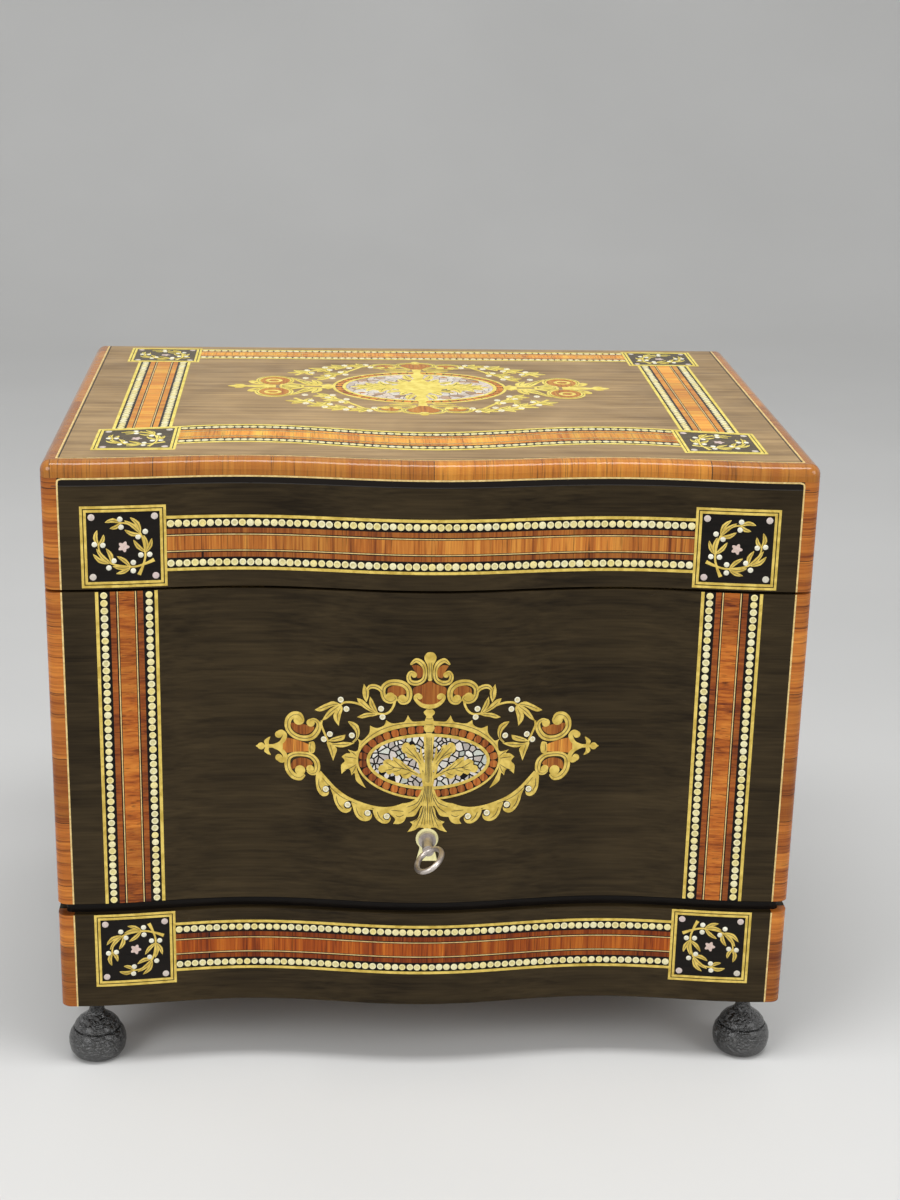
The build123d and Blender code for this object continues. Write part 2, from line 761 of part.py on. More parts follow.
# Lock
lock_cavity = slab(
    -lock_width / 2 + lock_wall,
    lock_width / 2 - lock_wall,
    lock_front_y + lock_wall,
    front_inner_y - lock_wall,
    panel_bottom + selvedge_thickness,
    lock_top - lock_wall,
)
bolt_slot = slab(
    -bolt_width / 2 - bolt_clearance,
    bolt_width / 2 + bolt_clearance,
    bolt_y - bolt_thickness / 2 - bolt_clearance,
    bolt_y + bolt_thickness / 2 + bolt_clearance,
    panel_bottom - overrun,
    panel_bottom + selvedge_thickness + overrun,
)
lock_case = cut(lock_block, [lock_cavity, bolt_slot])
lock_case -= keyhole(lock_front_y - overrun, lock_front_y + lock_wall + overrun, key_hole_radius)

# Bolt, with a slot that clears the key's stem and a notch that the bit drives
bolt_front_y, bolt_back_y = bolt_y - bolt_thickness / 2, bolt_y + bolt_thickness / 2
bolt_bottom = panel_bottom + bolt_retreat
stem_slot_half = key_stem_radius + bolt_clearance
notch_reach = key_bit_reach + 2 * bolt_clearance
bolt_top = bolt_bottom + bolt_height
lock_bolt = slab(-bolt_width / 2, bolt_width / 2, bolt_front_y, bolt_back_y, bolt_bottom, bolt_top)
lock_bolt -= slab(
    -stem_slot_half,
    stem_slot_half,
    bolt_front_y - overrun,
    bolt_back_y + overrun,
    key_axis_z - stem_slot_half,
    key_axis_z + stem_slot_half + bolt_throw,
)
lock_bolt -= slab(
    0,
    notch_reach,
    bolt_front_y - overrun,
    bolt_back_y + overrun,
    key_axis_z - bolt_clearance,
    key_axis_z + bolt_throw + bolt_clearance,
)

# Strike plate in the moulding, over a mortise for the bolt
strike_cut = slab(
    -bolt_width / 2 - strike_slot_clearance,
    bolt_width / 2 + strike_slot_clearance,
    bolt_front_y - strike_slot_clearance,
    bolt_back_y + strike_slot_clearance,
    moulding_top - strike_slot_depth,
    moulding_top + overrun,
)
strike_block = slab(
    -strike_length / 2,
    strike_length / 2,
    bolt_y - strike_width / 2,
    bolt_y + strike_width / 2,
    moulding_top - strike_thickness,
    moulding_top,
)
strike_plate = strike_block - strike_cut
plinth_moulding = cut(moulding, [strike_block, strike_cut])
plinth_front_rail -= strike_cut


def key():
    """Key with its stem along Y, the bow in front and the bit inside the lock."""
    stem_start = front_y - key_bow_reach + key_bow_length - key_bow_wire_radius
    stem_end = front_inner_y - lock_wall - bolt_clearance
    stem = Pos(0, (stem_start + stem_end) / 2, 0) * Rot(90, 0, 0) * Cylinder(
        key_stem_radius, stem_end - stem_start
    )
    collar_back = front_y - escutcheon_stand - bolt_clearance
    collar = Pos(0, collar_back - key_collar_thickness / 2, 0) * Rot(90, 0, 0) * Cylinder(
        key_collar_radius, key_collar_thickness
    )
    bit = slab(
        0,
        key_bit_reach,
        bolt_y - key_bit_width / 2,
        bolt_y + key_bit_width / 2,
        -key_bit_thickness / 2,
        key_bit_thickness / 2,
    )
    bow_centre_y = front_y - key_bow_reach + key_bow_length / 2
    path = Pos(0, bow_centre_y, 0) * Ellipse(
        key_bow_width / 2 - key_bow_wire_radius, key_bow_length / 2 - key_bow_wire_radius
    ).edge()
    bow = sweep(Plane(origin=path @ 0, z_dir=path % 0) * Circle(key_bow_wire_radius), path=path)
    return Pos(0, 0, key_axis_z) * Rot(0, -key_turn / 2, 0) * (stem + collar + bit + bow)


# Rack: tray, pierced gallery, posts and handle
decanter_places = [
    (sx * decanter_spacing / 2, rack_centre_y + sy * decanter_spacing / 2) for sy in sides for sx in sides
]
glass_ys = [rack_centre_y + (row - (glass_rows - 1) / 2) * glass_row_pitch for row in range(glass_rows)]
glass_columns = [
    sx * (glass_columns_from + column * glass_column_spacing) for sx in sides for column in (0, 1)
]
post_places = [
    (sx * (rack_half_width - rack_post_inset), y)
    for sx in sides
    for y in (rack_front_y + rack_post_inset, rack_back_y - rack_post_inset)
]


def square_prism(width, radius, z0, z1):
    """Upright square bar with rounded corners."""
    return Pos(0, 0, z0) * extrude(RectangleRounded(width, width, radius), z1 - z0)


recess_width = decanter_side + 2 * tray_recess_clearance
decanter_recess = square_prism(recess_width, decanter_edge_radius, standing_level, tray_top + overrun)
hole_width = decanter_side + 2 * gallery_clearance
gallery_z0 = tray_top + gallery_rise
gallery_z1 = gallery_z0 + gallery_thickness
gallery_hole = square_prism(hole_width, decanter_edge_radius, gallery_z0 - overrun, gallery_z1 + overrun)
rack_tray = slab(-rack_half_width, rack_half_width, rack_front_y, rack_back_y, tray_bottom, tray_top)
rack_gallery = slab(
    -rack_half_width + gallery_inset,
    rack_half_width - gallery_inset,
    rack_front_y + gallery_inset,
    rack_back_y - gallery_inset,
    gallery_z0,
    gallery_z1,
)
for x, y in decanter_places:
    rack_tray -= Pos(x, y, 0) * decanter_recess
    rack_gallery -= Pos(x, y, 0) * gallery_hole
for x in glass_columns:
    for y in glass_ys:
        foot_seat = glass_foot + tray_recess_clearance
        rack_tray -= rod(x, y, standing_level, tray_top + overrun, foot_seat)
        bowl_hole = glass_belly + gallery_clearance
        rack_gallery -= rod(x, y, gallery_z0 - overrun, gallery_z1 + overrun, bowl_hole)
rack_posts = []
for x, y in post_places:
    post = rod(x, y, tray_top, tray_top + rack_post_height, rack_post_radius)
    post += Pos(x, y, tray_top + rack_post_height) * Sphere(rack_finial_radius)
    rack_posts.append(post)
    rack_gallery -= rod(x, y, gallery_z0 - overrun, gallery_z1 + overrun, rack_post_radius)
rack_gallery -= rod(0, rack_centre_y, gallery_z0 - overrun, gallery_z1 + overrun, handle_rod_radius)


def rack_handle():
    """Central rod with an oval grip."""
    grip_bottom = board_bottom - handle_clearance - handle_height
    stem = rod(0, rack_centre_y, tray_top, grip_bottom + handle_wire_radius, handle_rod_radius)
    half_wide, half_high = handle_width / 2 - handle_wire_radius, handle_height / 2 - handle_wire_radius
    outline = Ellipse(half_wide, half_high).edge()
    path = Pos(0, rack_centre_y, grip_bottom + handle_height / 2) * Rot(90, 0, 0) * outline
    grip = sweep(Plane(origin=path @ 0, z_dir=path % 0) * Circle(handle_wire_radius), path=path)
    return stem + grip


def decanter(x, y):
    """Square glass decanter with a round neck and a flat lip."""
    body_top = decanter_body_height
    neck_top = body_top + decanter_neck_height
    body = square_prism(decanter_side, decanter_edge_radius, 0, body_top)
    body = fillet(body.faces().sort_by(Axis.Z)[-1].edges(), decanter_shoulder_radius)
    body += rod(0, 0, body_top - overrun, neck_top + decanter_lip_height, decanter_neck_radius)
    body += rod(0, 0, neck_top, neck_top + decanter_lip_height, decanter_lip_radius)
    inner_width = decanter_side - 2 * decanter_wall
    inner_top = body_top - decanter_wall
    hollow = square_prism(inner_width, decanter_edge_radius - decanter_wall, decanter_base, inner_top)
    hollow = fillet(hollow.faces().sort_by(Axis.Z)[-1].edges(), decanter_shoulder_radius - decanter_wall)
    hollow += rod(0, 0, inner_top - overrun, neck_top + decanter_lip_height + overrun, decanter_bore_radius)
    return Pos(x, y, standing_level) * (body - hollow)


stopper_seat_z = standing_level + decanter_body_height + decanter_neck_height + decanter_lip_height


def stopper(x, y):
    """Cut-glass stopper: ground plug, flange and eight-sided knob."""
    piece = rod(0, 0, -stopper_plug_length, 0, decanter_bore_radius - pin_clearance)
    piece += rod(0, 0, 0, stopper_flange_height, stopper_flange_radius)
    knob = extrude(RegularPolygon(stopper_knob_radius, stopper_sides), stopper_knob_height)
    knob = chamfer(knob.faces().sort_by(Axis.Z)[-1].edges(), stopper_knob_bevel)
    knob = chamfer(knob.faces().sort_by(Axis.Z)[0].edges(), stopper_knob_bevel)
    piece += Pos(0, 0, stopper_flange_height) * knob
    return Pos(x, y, stopper_seat_z) * piece


def glass_shape():
    """Stemmed liqueur glass, turned about its axis."""
    bowl_z = glass_stem_height
    floor_z = bowl_z + glass_bowl_floor
    hollow_base = (glass_bowl_base - glass_wall, bowl_z + glass_hollow_base_rise)
    belly_z = (bowl_z + glass_height) / 2
    outline = Polyline((0, 0), (glass_foot, 0), (glass_foot, glass_foot_thickness / 2))
    outline += Spline(
        (glass_foot, glass_foot_thickness / 2),
        (glass_crown_radius, glass_crown_height),
        (glass_stem_radius, bowl_z / 2),
        (glass_stem_flare_radius, bowl_z),
        (glass_bowl_base, bowl_z + glass_bowl_base_rise),
        (glass_belly, belly_z),
        (glass_rim, glass_height),
    )
    outline += Line((glass_rim, glass_height), (glass_rim - glass_wall, glass_height))
    outline += Spline(
        (glass_rim - glass_wall, glass_height),
        (glass_belly - glass_wall, belly_z),
        hollow_base,
        (0, floor_z),
    )
    outline += Line((0, floor_z), (0, 0))
    return revolve(Plane.XZ * make_face(outline), Axis.Z)


one_glass = glass_shape()


def glass_column(x):
    """The four glasses of one column."""
    return [Pos(x, y, standing_level) * one_glass for y in glass_ys]


column_names = ["left_outer", "left_inner", "right_inner", "right_outer"]
place_names = ["front_left", "front_right", "back_left", "back_right"]

nodes = {
    "base_board": base_board,
    "plinth_front_rail": plinth_front_rail,
    "plinth_left_rail": plinth_side_rails[0],
    "plinth_right_rail": plinth_side_rails[1],
    "plinth_back_rail": plinth_back_rail,
    "plinth_corner_blocks": corner_blocks,
    "plinth_moulding": plinth_moulding,
    "plinth_inlay": [plinth_band] + plinth_plaques,
    "case_edgings": case_edgings,
    "back_panel": back_panel,
    "strike_plate": strike_plate,
    "lid_hinge_case_leaves": lid_hinge_case_leaves,
    "lid_hinge_pins": lid_hinge_pins,
    "left_hinge_case_leaves": left_hinge_case_leaves + wing_hinge_set(-1, wing_pin),
    "right_hinge_case_leaves": right_hinge_case_leaves + wing_hinge_set(1, wing_pin),
    "lid_board": lid_board,
    "lid_edge_nosing": lid_edge_nosing,
    "lid_front_frieze": lid_front_frieze,
    "lid_left_frieze": lid_side_friezes[0],
    "lid_right_frieze": lid_side_friezes[1],
    "lid_back_frieze": lid_back_frieze,
    "lid_edgings": lid_edgings,
    "lid_frieze_inlay": [lid_frieze_band] + lid_frieze_plaques,
    "lid_top_inlay": lid_top_bands + lid_top_plaques,
    "lid_medallion": lid_medallion,
    "lid_hinge_lid_leaves": lid_hinge_lid_leaves,
    "front_hinge_lid_leaves": front_hinge_lid_leaves + front_hinge_pins,
    "front_panel_board": front_panel,
    "front_edgings": front_edgings,
    "front_bands": front_bands,
    "front_medallion": front_medallion,
    "front_hinge_panel_leaves": front_hinge_panel_leaves,
    "escutcheon": escutcheon,
    "lock_case": lock_case,
    "lock_bolt": lock_bolt,
    "key": key(),
    "left_wing_board": wing(-1),
    "right_wing_board": wing(1),
    "left_hinge_wing_leaves": wing_hinge_set(-1, wing_leaf),
    "right_hinge_wing_leaves": wing_hinge_set(1, wing_leaf),
    "rack_tray": rack_tray,
    "rack_gallery": rack_gallery,
    "rack_posts": rack_posts,
    "rack_handle": rack_handle(),
}
for (sx, front), solid in feet.items():
    nodes[("front" if front else "back") + ("_left" if sx < 0 else "_right") + "_foot"] = solid
for name, (x, y) in zip(place_names, decanter_places):
    nodes[name + "_decanter"] = decanter(x, y)
    nodes[name + "_stopper"] = stopper(x, y)
for name, x in zip(column_names, sorted(glass_columns)):
    nodes[name + "_glasses"] = glass_column(x)

os.makedirs("parts", exist_ok=True)
for name, solids in nodes.items():
    if isinstance(solids, list):
        solids = Compound(children=[piece for item in solids for piece in item.solids()])
    export_step(solids, f"parts/{name}.step")
print(len(nodes), "nodes; case front at y", round(front_y, 3), "and back at y", round(back_y, 3))
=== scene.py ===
"""Dresses the liqueur cabinet: polished woods, marquetry, brass, pearl, glass and the studio."""
import logging
import math
import random
from dataclasses import dataclass, field
from enum import Enum
from functools import cache, reduce
from typing import Callable, Iterable, Protocol, Sequence

import bmesh
import bpy
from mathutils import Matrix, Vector


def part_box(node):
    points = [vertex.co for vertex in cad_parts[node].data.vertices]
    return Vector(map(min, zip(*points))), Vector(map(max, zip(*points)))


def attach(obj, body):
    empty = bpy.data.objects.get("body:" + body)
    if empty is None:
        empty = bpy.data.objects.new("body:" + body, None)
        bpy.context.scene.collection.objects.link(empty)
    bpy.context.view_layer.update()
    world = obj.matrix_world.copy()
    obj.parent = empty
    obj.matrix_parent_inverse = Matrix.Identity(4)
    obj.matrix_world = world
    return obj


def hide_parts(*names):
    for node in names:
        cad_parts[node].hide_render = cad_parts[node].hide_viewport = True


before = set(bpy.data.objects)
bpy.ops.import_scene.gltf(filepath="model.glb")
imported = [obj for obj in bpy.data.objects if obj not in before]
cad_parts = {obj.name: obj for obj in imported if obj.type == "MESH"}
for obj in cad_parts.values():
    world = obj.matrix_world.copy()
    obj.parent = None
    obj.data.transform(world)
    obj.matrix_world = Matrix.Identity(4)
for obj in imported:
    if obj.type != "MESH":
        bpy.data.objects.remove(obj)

LOG = logging.getLogger("cabinet")
MM = 0.001
TINT = "tint"
SIDES = (-1, 1)
WHITE = (1.0, 1.0, 1.0)
# The serpentine front: how far it swings back, and the length of one wave, in millimetres.
SWING = 7.2
PITCH = 160.0
Colour = tuple[float, float, float]
Point = tuple[float, float]
Outline = Sequence[Point]
Socket = bpy.types.NodeSocket
Material = bpy.types.Material


class Grain(Enum):
    """Which way the grain of a veneer runs, as the scale of its pattern along each axis."""

    ALONG_X = (26.0, 900.0, 900.0)
    ALONG_Y = (900.0, 26.0, 900.0)
    ALONG_Z = (900.0, 900.0, 26.0)
    ACROSS_X = (900.0, 26.0, 26.0)
    ACROSS_Y = (26.0, 900.0, 26.0)
    ACROSS_Z = (26.0, 26.0, 900.0)


class Recipe:
    """The node tree of one material, with a short call for each kind of node used."""

    def __init__(self, name: str) -> None:
        """Starts a material with one principled shader.

        Args:
            name: the material's name.
        """
        self.material = bpy.data.materials.new(name)
        self.material.use_nodes = True
        self.tree = self.material.node_tree
        self.shader = self.tree.nodes["Principled BSDF"]
        self.place = self.add("ShaderNodeTexCoord", {}).outputs["Object"]

    def add(self, kind: str, inputs: dict, **settings: object) -> bpy.types.Node:
        """Adds a node.

        Args:
            kind: the node's type.
            inputs: values or sockets for its inputs, by name or number.
            settings: the node's own properties.

        Returns:
            The new node.
        """
        node = self.tree.nodes.new(kind)
        for key, value in settings.items():
            setattr(node, key, value)
        for key, value in inputs.items():
            self.feed(node.inputs[key], value)
        return node

    def feed(self, socket: Socket, value: object) -> None:
        """Links a socket to another, or sets its value.

        Args:
            socket: the input that is fed.
            value: another node's output, or a plain value.
        """
        if isinstance(value, Socket):
            self.tree.links.new(value, socket)
        elif isinstance(value, tuple) and len(value) == 3 and len(socket.default_value) == 4:
            socket.default_value = (*value, 1.0)
        else:
            socket.default_value = value

    def stretched(self, scale: Sequence[float]) -> Socket:
        """Object coordinates, scaled along each axis."""
        return self.add("ShaderNodeMapping", {"Vector": self.place, "Scale": scale}).outputs[0]

    def noise(self, vector: Socket, scale: float, detail: float = 4.0, warp: float = 0.0) -> Socket:
        """Cloudy pattern from 0 to 1."""
        inputs = {"Vector": vector, "Scale": scale, "Detail": detail, "Distortion": warp}
        return self.add("ShaderNodeTexNoise", inputs).outputs["Fac"]

    def ramp(self, fac: Socket, stops: Iterable[tuple[float, Colour]]) -> Socket:
        """Colour that follows a pattern through the given stops.

        Args:
            fac: the pattern.
            stops: places along it, from 0 to 1, with their colours.

        Returns:
            The colour.
        """
        node = self.add("ShaderNodeValToRGB", {"Fac": fac})
        elements = node.color_ramp.elements
        for index, (position, colour) in enumerate(sorted(stops)):
            element = elements[index] if index < 2 else elements.new(position)
            element.position = position
            element.color = (*colour, 1.0)
        return node.outputs["Color"]

    def mix(self, fac: object, first: object, second: object, blend: str = "MIX") -> Socket:
        """Mix of two colours.

        Args:
            fac: the second colour's share.
            first, second: the colours.
            blend: the way they are mixed.

        Returns:
            The mixed colour.
        """
        node = self.add("ShaderNodeMix", {}, data_type="RGBA", blend_type=blend)
        for number, value in ((0, fac), (6, first), (7, second)):
            self.feed(node.inputs[number], value)
        return node.outputs[2]

    def sum(self, kind: str, first: object, second: object = 0.0) -> Socket:
        """One step of arithmetic."""
        return self.add("ShaderNodeMath", {0: first, 1: second}, operation=kind).outputs[0]

    def weighted(self, *weighed: tuple[Socket, float]) -> Socket:
        """Sum of patterns, each times its share."""
        parts = [self.sum("MULTIPLY", *part) for part in weighed]
        return reduce(lambda total, part: self.sum("ADD", total, part), parts)

    def spread(self, fac: Socket, low: float, high: float) -> Socket:
        """A pattern from 0 to 1, spread between two values."""
        inputs = {"Value": fac, "To Min": low, "To Max": high}
        return self.add("ShaderNodeMapRange", inputs).outputs[0]

    def tint(self) -> Socket:
        """The colour that each piece of flat work carries."""
        return self.add("ShaderNodeAttribute", {}, attribute_name=TINT).outputs["Color"]

    def axes(self) -> list[Socket]:
        """The x, y and z of Object coordinates."""
        return list(self.add("ShaderNodeSeparateXYZ", {0: self.place}).outputs)

    def relief(self, height: Socket, strength: float, depth: float) -> None:
        """Bump on the shader's normal, from a height pattern."""
        inputs = {"Height": height, "Strength": strength, "Distance": depth}
        self.feed(self.shader.inputs["Normal"], self.add("ShaderNodeBump", inputs).outputs[0])

    def dress(self, **inputs: object) -> Material:
        """Sets the shader's own sockets, with _ for a blank.

        Args:
            inputs: values or sockets by socket name.

        Returns:
            The finished material.
        """
        for key, value in inputs.items():
            self.feed(self.shader.inputs[key.replace("_", " ")], value)
        return self.material


@dataclass(frozen=True)
class PolishedWood:
    """French-polished dark wood with fine grain, soft cloudy figure and wipe marks in its gloss."""

    name: str
    dark: Colour
    light: Colour
    grain: Grain = Grain.ALONG_X
    gloss: float = 0.2
    sheen: float = 0.1
    figure: float = 14.0

    def colour(self, r: Recipe) -> Socket:
        """Fibres and figure between the wood's dark and its light.

        Args:
            r: the material's recipe.

        Returns:
            The colour.
        """
        fibre = r.noise(r.stretched(self.grain.value), 1.0, 6.0, 0.4)
        flow = r.noise(r.stretched([value * 0.2 for value in self.grain.value]), 1.0, 4.0, 0.8)
        cloud = r.noise(r.place, self.figure, 3.0, 0.8)
        figured = r.weighted((fibre, 0.35), (flow, 0.35), (cloud, 0.3))
        return r.ramp(figured, [(0.36, self.dark), (0.66, self.light)])

    def material(self) -> Material:
        """Makes the material.

        Returns:
            The material.
        """
        r = Recipe(self.name)
        colour = self.colour(r)
        wipes = r.noise(r.stretched((22.0, 22.0, 60.0)), 1.0, 5.0, 1.5)
        r.relief(r.noise(r.place, 24.0, 2.0), 0.12, 0.0012)
        rough = r.spread(wipes, self.gloss * 0.6, self.gloss * 1.7)
        return r.dress(Base_Color=colour, Roughness=rough, Specular_IOR_Level=self.sheen)


@dataclass(frozen=True)
class LidTop(PolishedWood):
    """Faded brown top of the lid, with the black front edge of its board."""

    edge: float = 0.29
    edge_black: Colour = (0.009, 0.0065, 0.005)

    def material(self) -> Material:
        """Makes the material.

        Returns:
            The material.
        """
        r = Recipe(self.name)
        below = r.sum("LESS_THAN", r.axes()[2], self.edge)
        colour = r.mix(below, self.colour(r), self.edge_black)
        rough = r.spread(r.noise(r.place, 30.0, 5.0, 1.2), self.gloss * 0.7, self.gloss * 1.5)
        r.relief(r.noise(r.place, 24.0, 2.0), 0.1, 0.001)
        return r.dress(Base_Color=colour, Roughness=rough, Specular_IOR_Level=self.sheen)


@dataclass(frozen=True)
class Rosewood:
    """Rosewood veneer laid in short lengths, with streaks, pores and a shade for each length."""

    name: str
    grain: Grain
    dark: Colour = (0.15, 0.03, 0.006)
    middle: Colour = (0.46, 0.14, 0.02)
    light: Colour = (0.68, 0.28, 0.045)
    joint_axis: int | None = None
    joint_length: float = 0.031
    seam_width: float = 0.0004
    mitre: tuple[float, float] | None = None
    gloss: float = 0.24
    coat: float = 0.08
    pore: Colour = (0.22, 0.22, 0.22)
    seam: Colour = (0.02, 0.008, 0.004)
    darkest_length: Colour = (0.62, 0.55, 0.5)
    lightest_length: Colour = (1.18, 1.18, 1.18)

    def streaks(self, r: Recipe, scale: Sequence[float]) -> Socket:
        """Colour of the streaks along one direction.

        Args:
            r: the material's recipe.
            scale: scale of the streaks along each axis.

        Returns:
            The colour.
        """
        fine = r.noise(r.stretched(scale), 1.0, 5.0, 0.6)
        broad = r.noise(r.stretched([value * 0.13 for value in scale]), 1.0, 3.0, 1.0)
        streaked = r.weighted((fine, 0.5), (broad, 0.5))
        colour = r.ramp(streaked, [(0.34, self.dark), (0.48, self.middle), (0.63, self.light)])
        pores = r.noise(r.stretched([value * 1.9 for value in scale]), 1.0, 2.0)
        return r.mix(0.7, colour, r.ramp(pores, [(0.30, self.pore), (0.42, WHITE)]), "MULTIPLY")

    def material(self) -> Material:
        """Makes the material.

        Returns:
            The material.
        """
        r = Recipe(self.name)
        colour = self.streaks(r, self.grain.value)
        x, y, z = r.axes()
        if self.mitre is not None:
            half, front = self.mitre
            inward = r.sum("SUBTRACT", half, r.sum("ABSOLUTE", x))
            backward = r.sum("SUBTRACT", y, front)
            side = r.sum("LESS_THAN", inward, backward)
            colour = r.mix(side, self.streaks(r, Grain.ACROSS_X.value), colour)
            along_side = r.sum("MULTIPLY", side, y)
            along_front = r.sum("MULTIPLY", r.sum("SUBTRACT", 1.0, side), x)
            colour = self.lengths(r, colour, r.sum("ADD", along_side, along_front))
        elif self.joint_axis is None:
            colour = r.mix(1.0, colour, r.tint(), "MULTIPLY")
        else:
            colour = self.lengths(r, colour, (x, y, z)[self.joint_axis])
        return r.dress(
            Base_Color=colour, Roughness=self.gloss, Specular_IOR_Level=0.2,
            Coat_Weight=self.coat, Coat_Roughness=0.08,
        )

    def lengths(self, r: Recipe, colour: object, along: Socket) -> Socket:
        """Gives each length of veneer its own shade, with a dark seam between them.

        Args:
            r: the material's recipe.
            colour: the colour of the veneer.
            along: the distance along its lengths, in metres.

        Returns:
            The colour with shades and seams.
        """
        place = r.sum("DIVIDE", along, self.joint_length)
        number = r.sum("FLOOR", place)
        step = r.add("ShaderNodeTexWhiteNoise", {"W": number}, noise_dimensions="1D")
        stops = [(0.0, self.darkest_length), (1.0, self.lightest_length)]
        shade = r.ramp(step.outputs["Value"], stops)
        seam = r.sum("LESS_THAN", r.sum("FRACT", place), self.seam_width / self.joint_length)
        strength = r.sum("MULTIPLY", seam, 0.8)
        return r.mix(strength, r.mix(1.0, colour, shade, "MULTIPLY"), self.seam)


@dataclass(frozen=True)
class Metal:
    """Worn metal with soft mottling and fine scratches."""

    name: str
    dark: Colour
    light: Colour
    gloss: float = 0.3
    metallic: float = 1.0
    scale: float = 260.0
    depth: float = 0.06

    def material(self) -> Material:
        """Makes the material.

        Returns:
            The material.
        """
        r = Recipe(self.name)
        patches = r.noise(r.place, self.scale, 4.0, 0.6)
        scratches = r.noise(r.stretched((2600.0, 2600.0, 300.0)), 1.0, 2.0, 0.2)
        colour = r.ramp(patches, [(0.34, self.dark), (0.62, self.light)])
        r.relief(scratches, self.depth, 0.0002)
        rough = r.spread(patches, self.gloss * 0.8, self.gloss * 1.35)
        return r.dress(Base_Color=colour, Roughness=rough, Metallic=self.metallic)


@dataclass(frozen=True)
class Pearl:
    """Pearl or bone, tinted piece by piece, with a cloudy sheen."""

    name: str
    gloss: float = 0.22
    clouds: float = 900.0
    shadow: Colour = (0.84, 0.82, 0.76)

    def material(self) -> Material:
        """Makes the material.

        Returns:
            The material.
        """
        r = Recipe(self.name)
        tint = r.tint()
        veil = r.noise(r.place, self.clouds, 3.0, 1.2)
        colour = r.mix(1.0, tint, r.ramp(veil, [(0.35, self.shadow), (0.65, WHITE)]), "MULTIPLY")
        r.relief(veil, 0.08, 0.0003)
        return r.dress(
            Base_Color=colour, Roughness=self.gloss, Specular_IOR_Level=0.3,
            Coat_Weight=0.15, Coat_Roughness=0.08,
        )


@dataclass(frozen=True)
class Plain:
    """Fine-grained stuff of one colour, such as boxwood or mastic."""

    name: str
    dark: Colour
    light: Colour
    gloss: float = 0.4
    scale: float = 700.0

    def material(self) -> Material:
        """Makes the material.

        Returns:
            The material.
        """
        r = Recipe(self.name)
        grain = r.noise(r.place, self.scale, 3.0, 0.3)
        r.relief(grain, 0.08, 0.0003)
        colour = r.ramp(grain, [(0.35, self.dark), (0.65, self.light)])
        return r.dress(Base_Color=colour, Roughness=self.gloss)


@dataclass(frozen=True)
class Knurled:
    """Ebonised turned wood with a worn, hammered surface."""

    name: str
    dark: Colour = (0.003, 0.003, 0.0028)
    worn: Colour = (0.022, 0.02, 0.018)

    def material(self) -> Material:
        """Makes the material.

        Returns:
            The material.
        """
        r = Recipe(self.name)
        dents = r.noise(r.stretched((1.0, 1.0, 1.4)), 560.0, 2.0, 0.6)
        wear = r.noise(r.place, 420.0, 4.0)
        colour = r.ramp(wear, [(0.46, self.dark), (0.78, self.worn)])
        r.relief(dents, 1.0, 0.0032)
        return r.dress(Base_Color=colour, Roughness=0.24, Specular_IOR_Level=1.0, Coat_Weight=0.3)


@dataclass(frozen=True)
class Glass:
    """Clear glass, faintly wavy."""

    name: str
    colour: Colour = (0.97, 0.99, 0.985)

    def material(self) -> Material:
        """Makes the material.

        Returns:
            The material.
        """
        r = Recipe(self.name)
        r.relief(r.noise(r.place, 60.0, 2.0), 0.05, 0.001)
        return r.dress(Base_Color=self.colour, Roughness=0.02, Transmission_Weight=1.0, IOR=1.48)


@dataclass(frozen=True)
class Frame:
    """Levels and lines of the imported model, in millimetres."""

    front: float
    back: float
    half_width: float
    lid_top: float
    nosing_bottom: float
    board_bottom: float
    lid_bottom: float
    panel_bottom: float
    panel_top: float
    plinth_bottom: float
    plinth_top: float

    @classmethod
    def measured(cls) -> "Frame":
        """Reads the boxes of the nodes that the dressing is set out from.

        Returns:
            The levels and lines.
        """
        rail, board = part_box("plinth_front_rail"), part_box("front_panel_board")
        nosing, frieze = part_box("lid_edge_nosing"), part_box("lid_front_frieze")
        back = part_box("plinth_back_rail")
        lines = (rail[0].y, back[1].y, nosing[1].x)
        lid_levels = (nosing[1].z, nosing[0].z, frieze[1].z, frieze[0].z)
        low_levels = (board[0].z, board[1].z, rail[0].z, back[1].z)
        return cls(*(value / MM for value in (*lines, *lid_levels, *low_levels)))


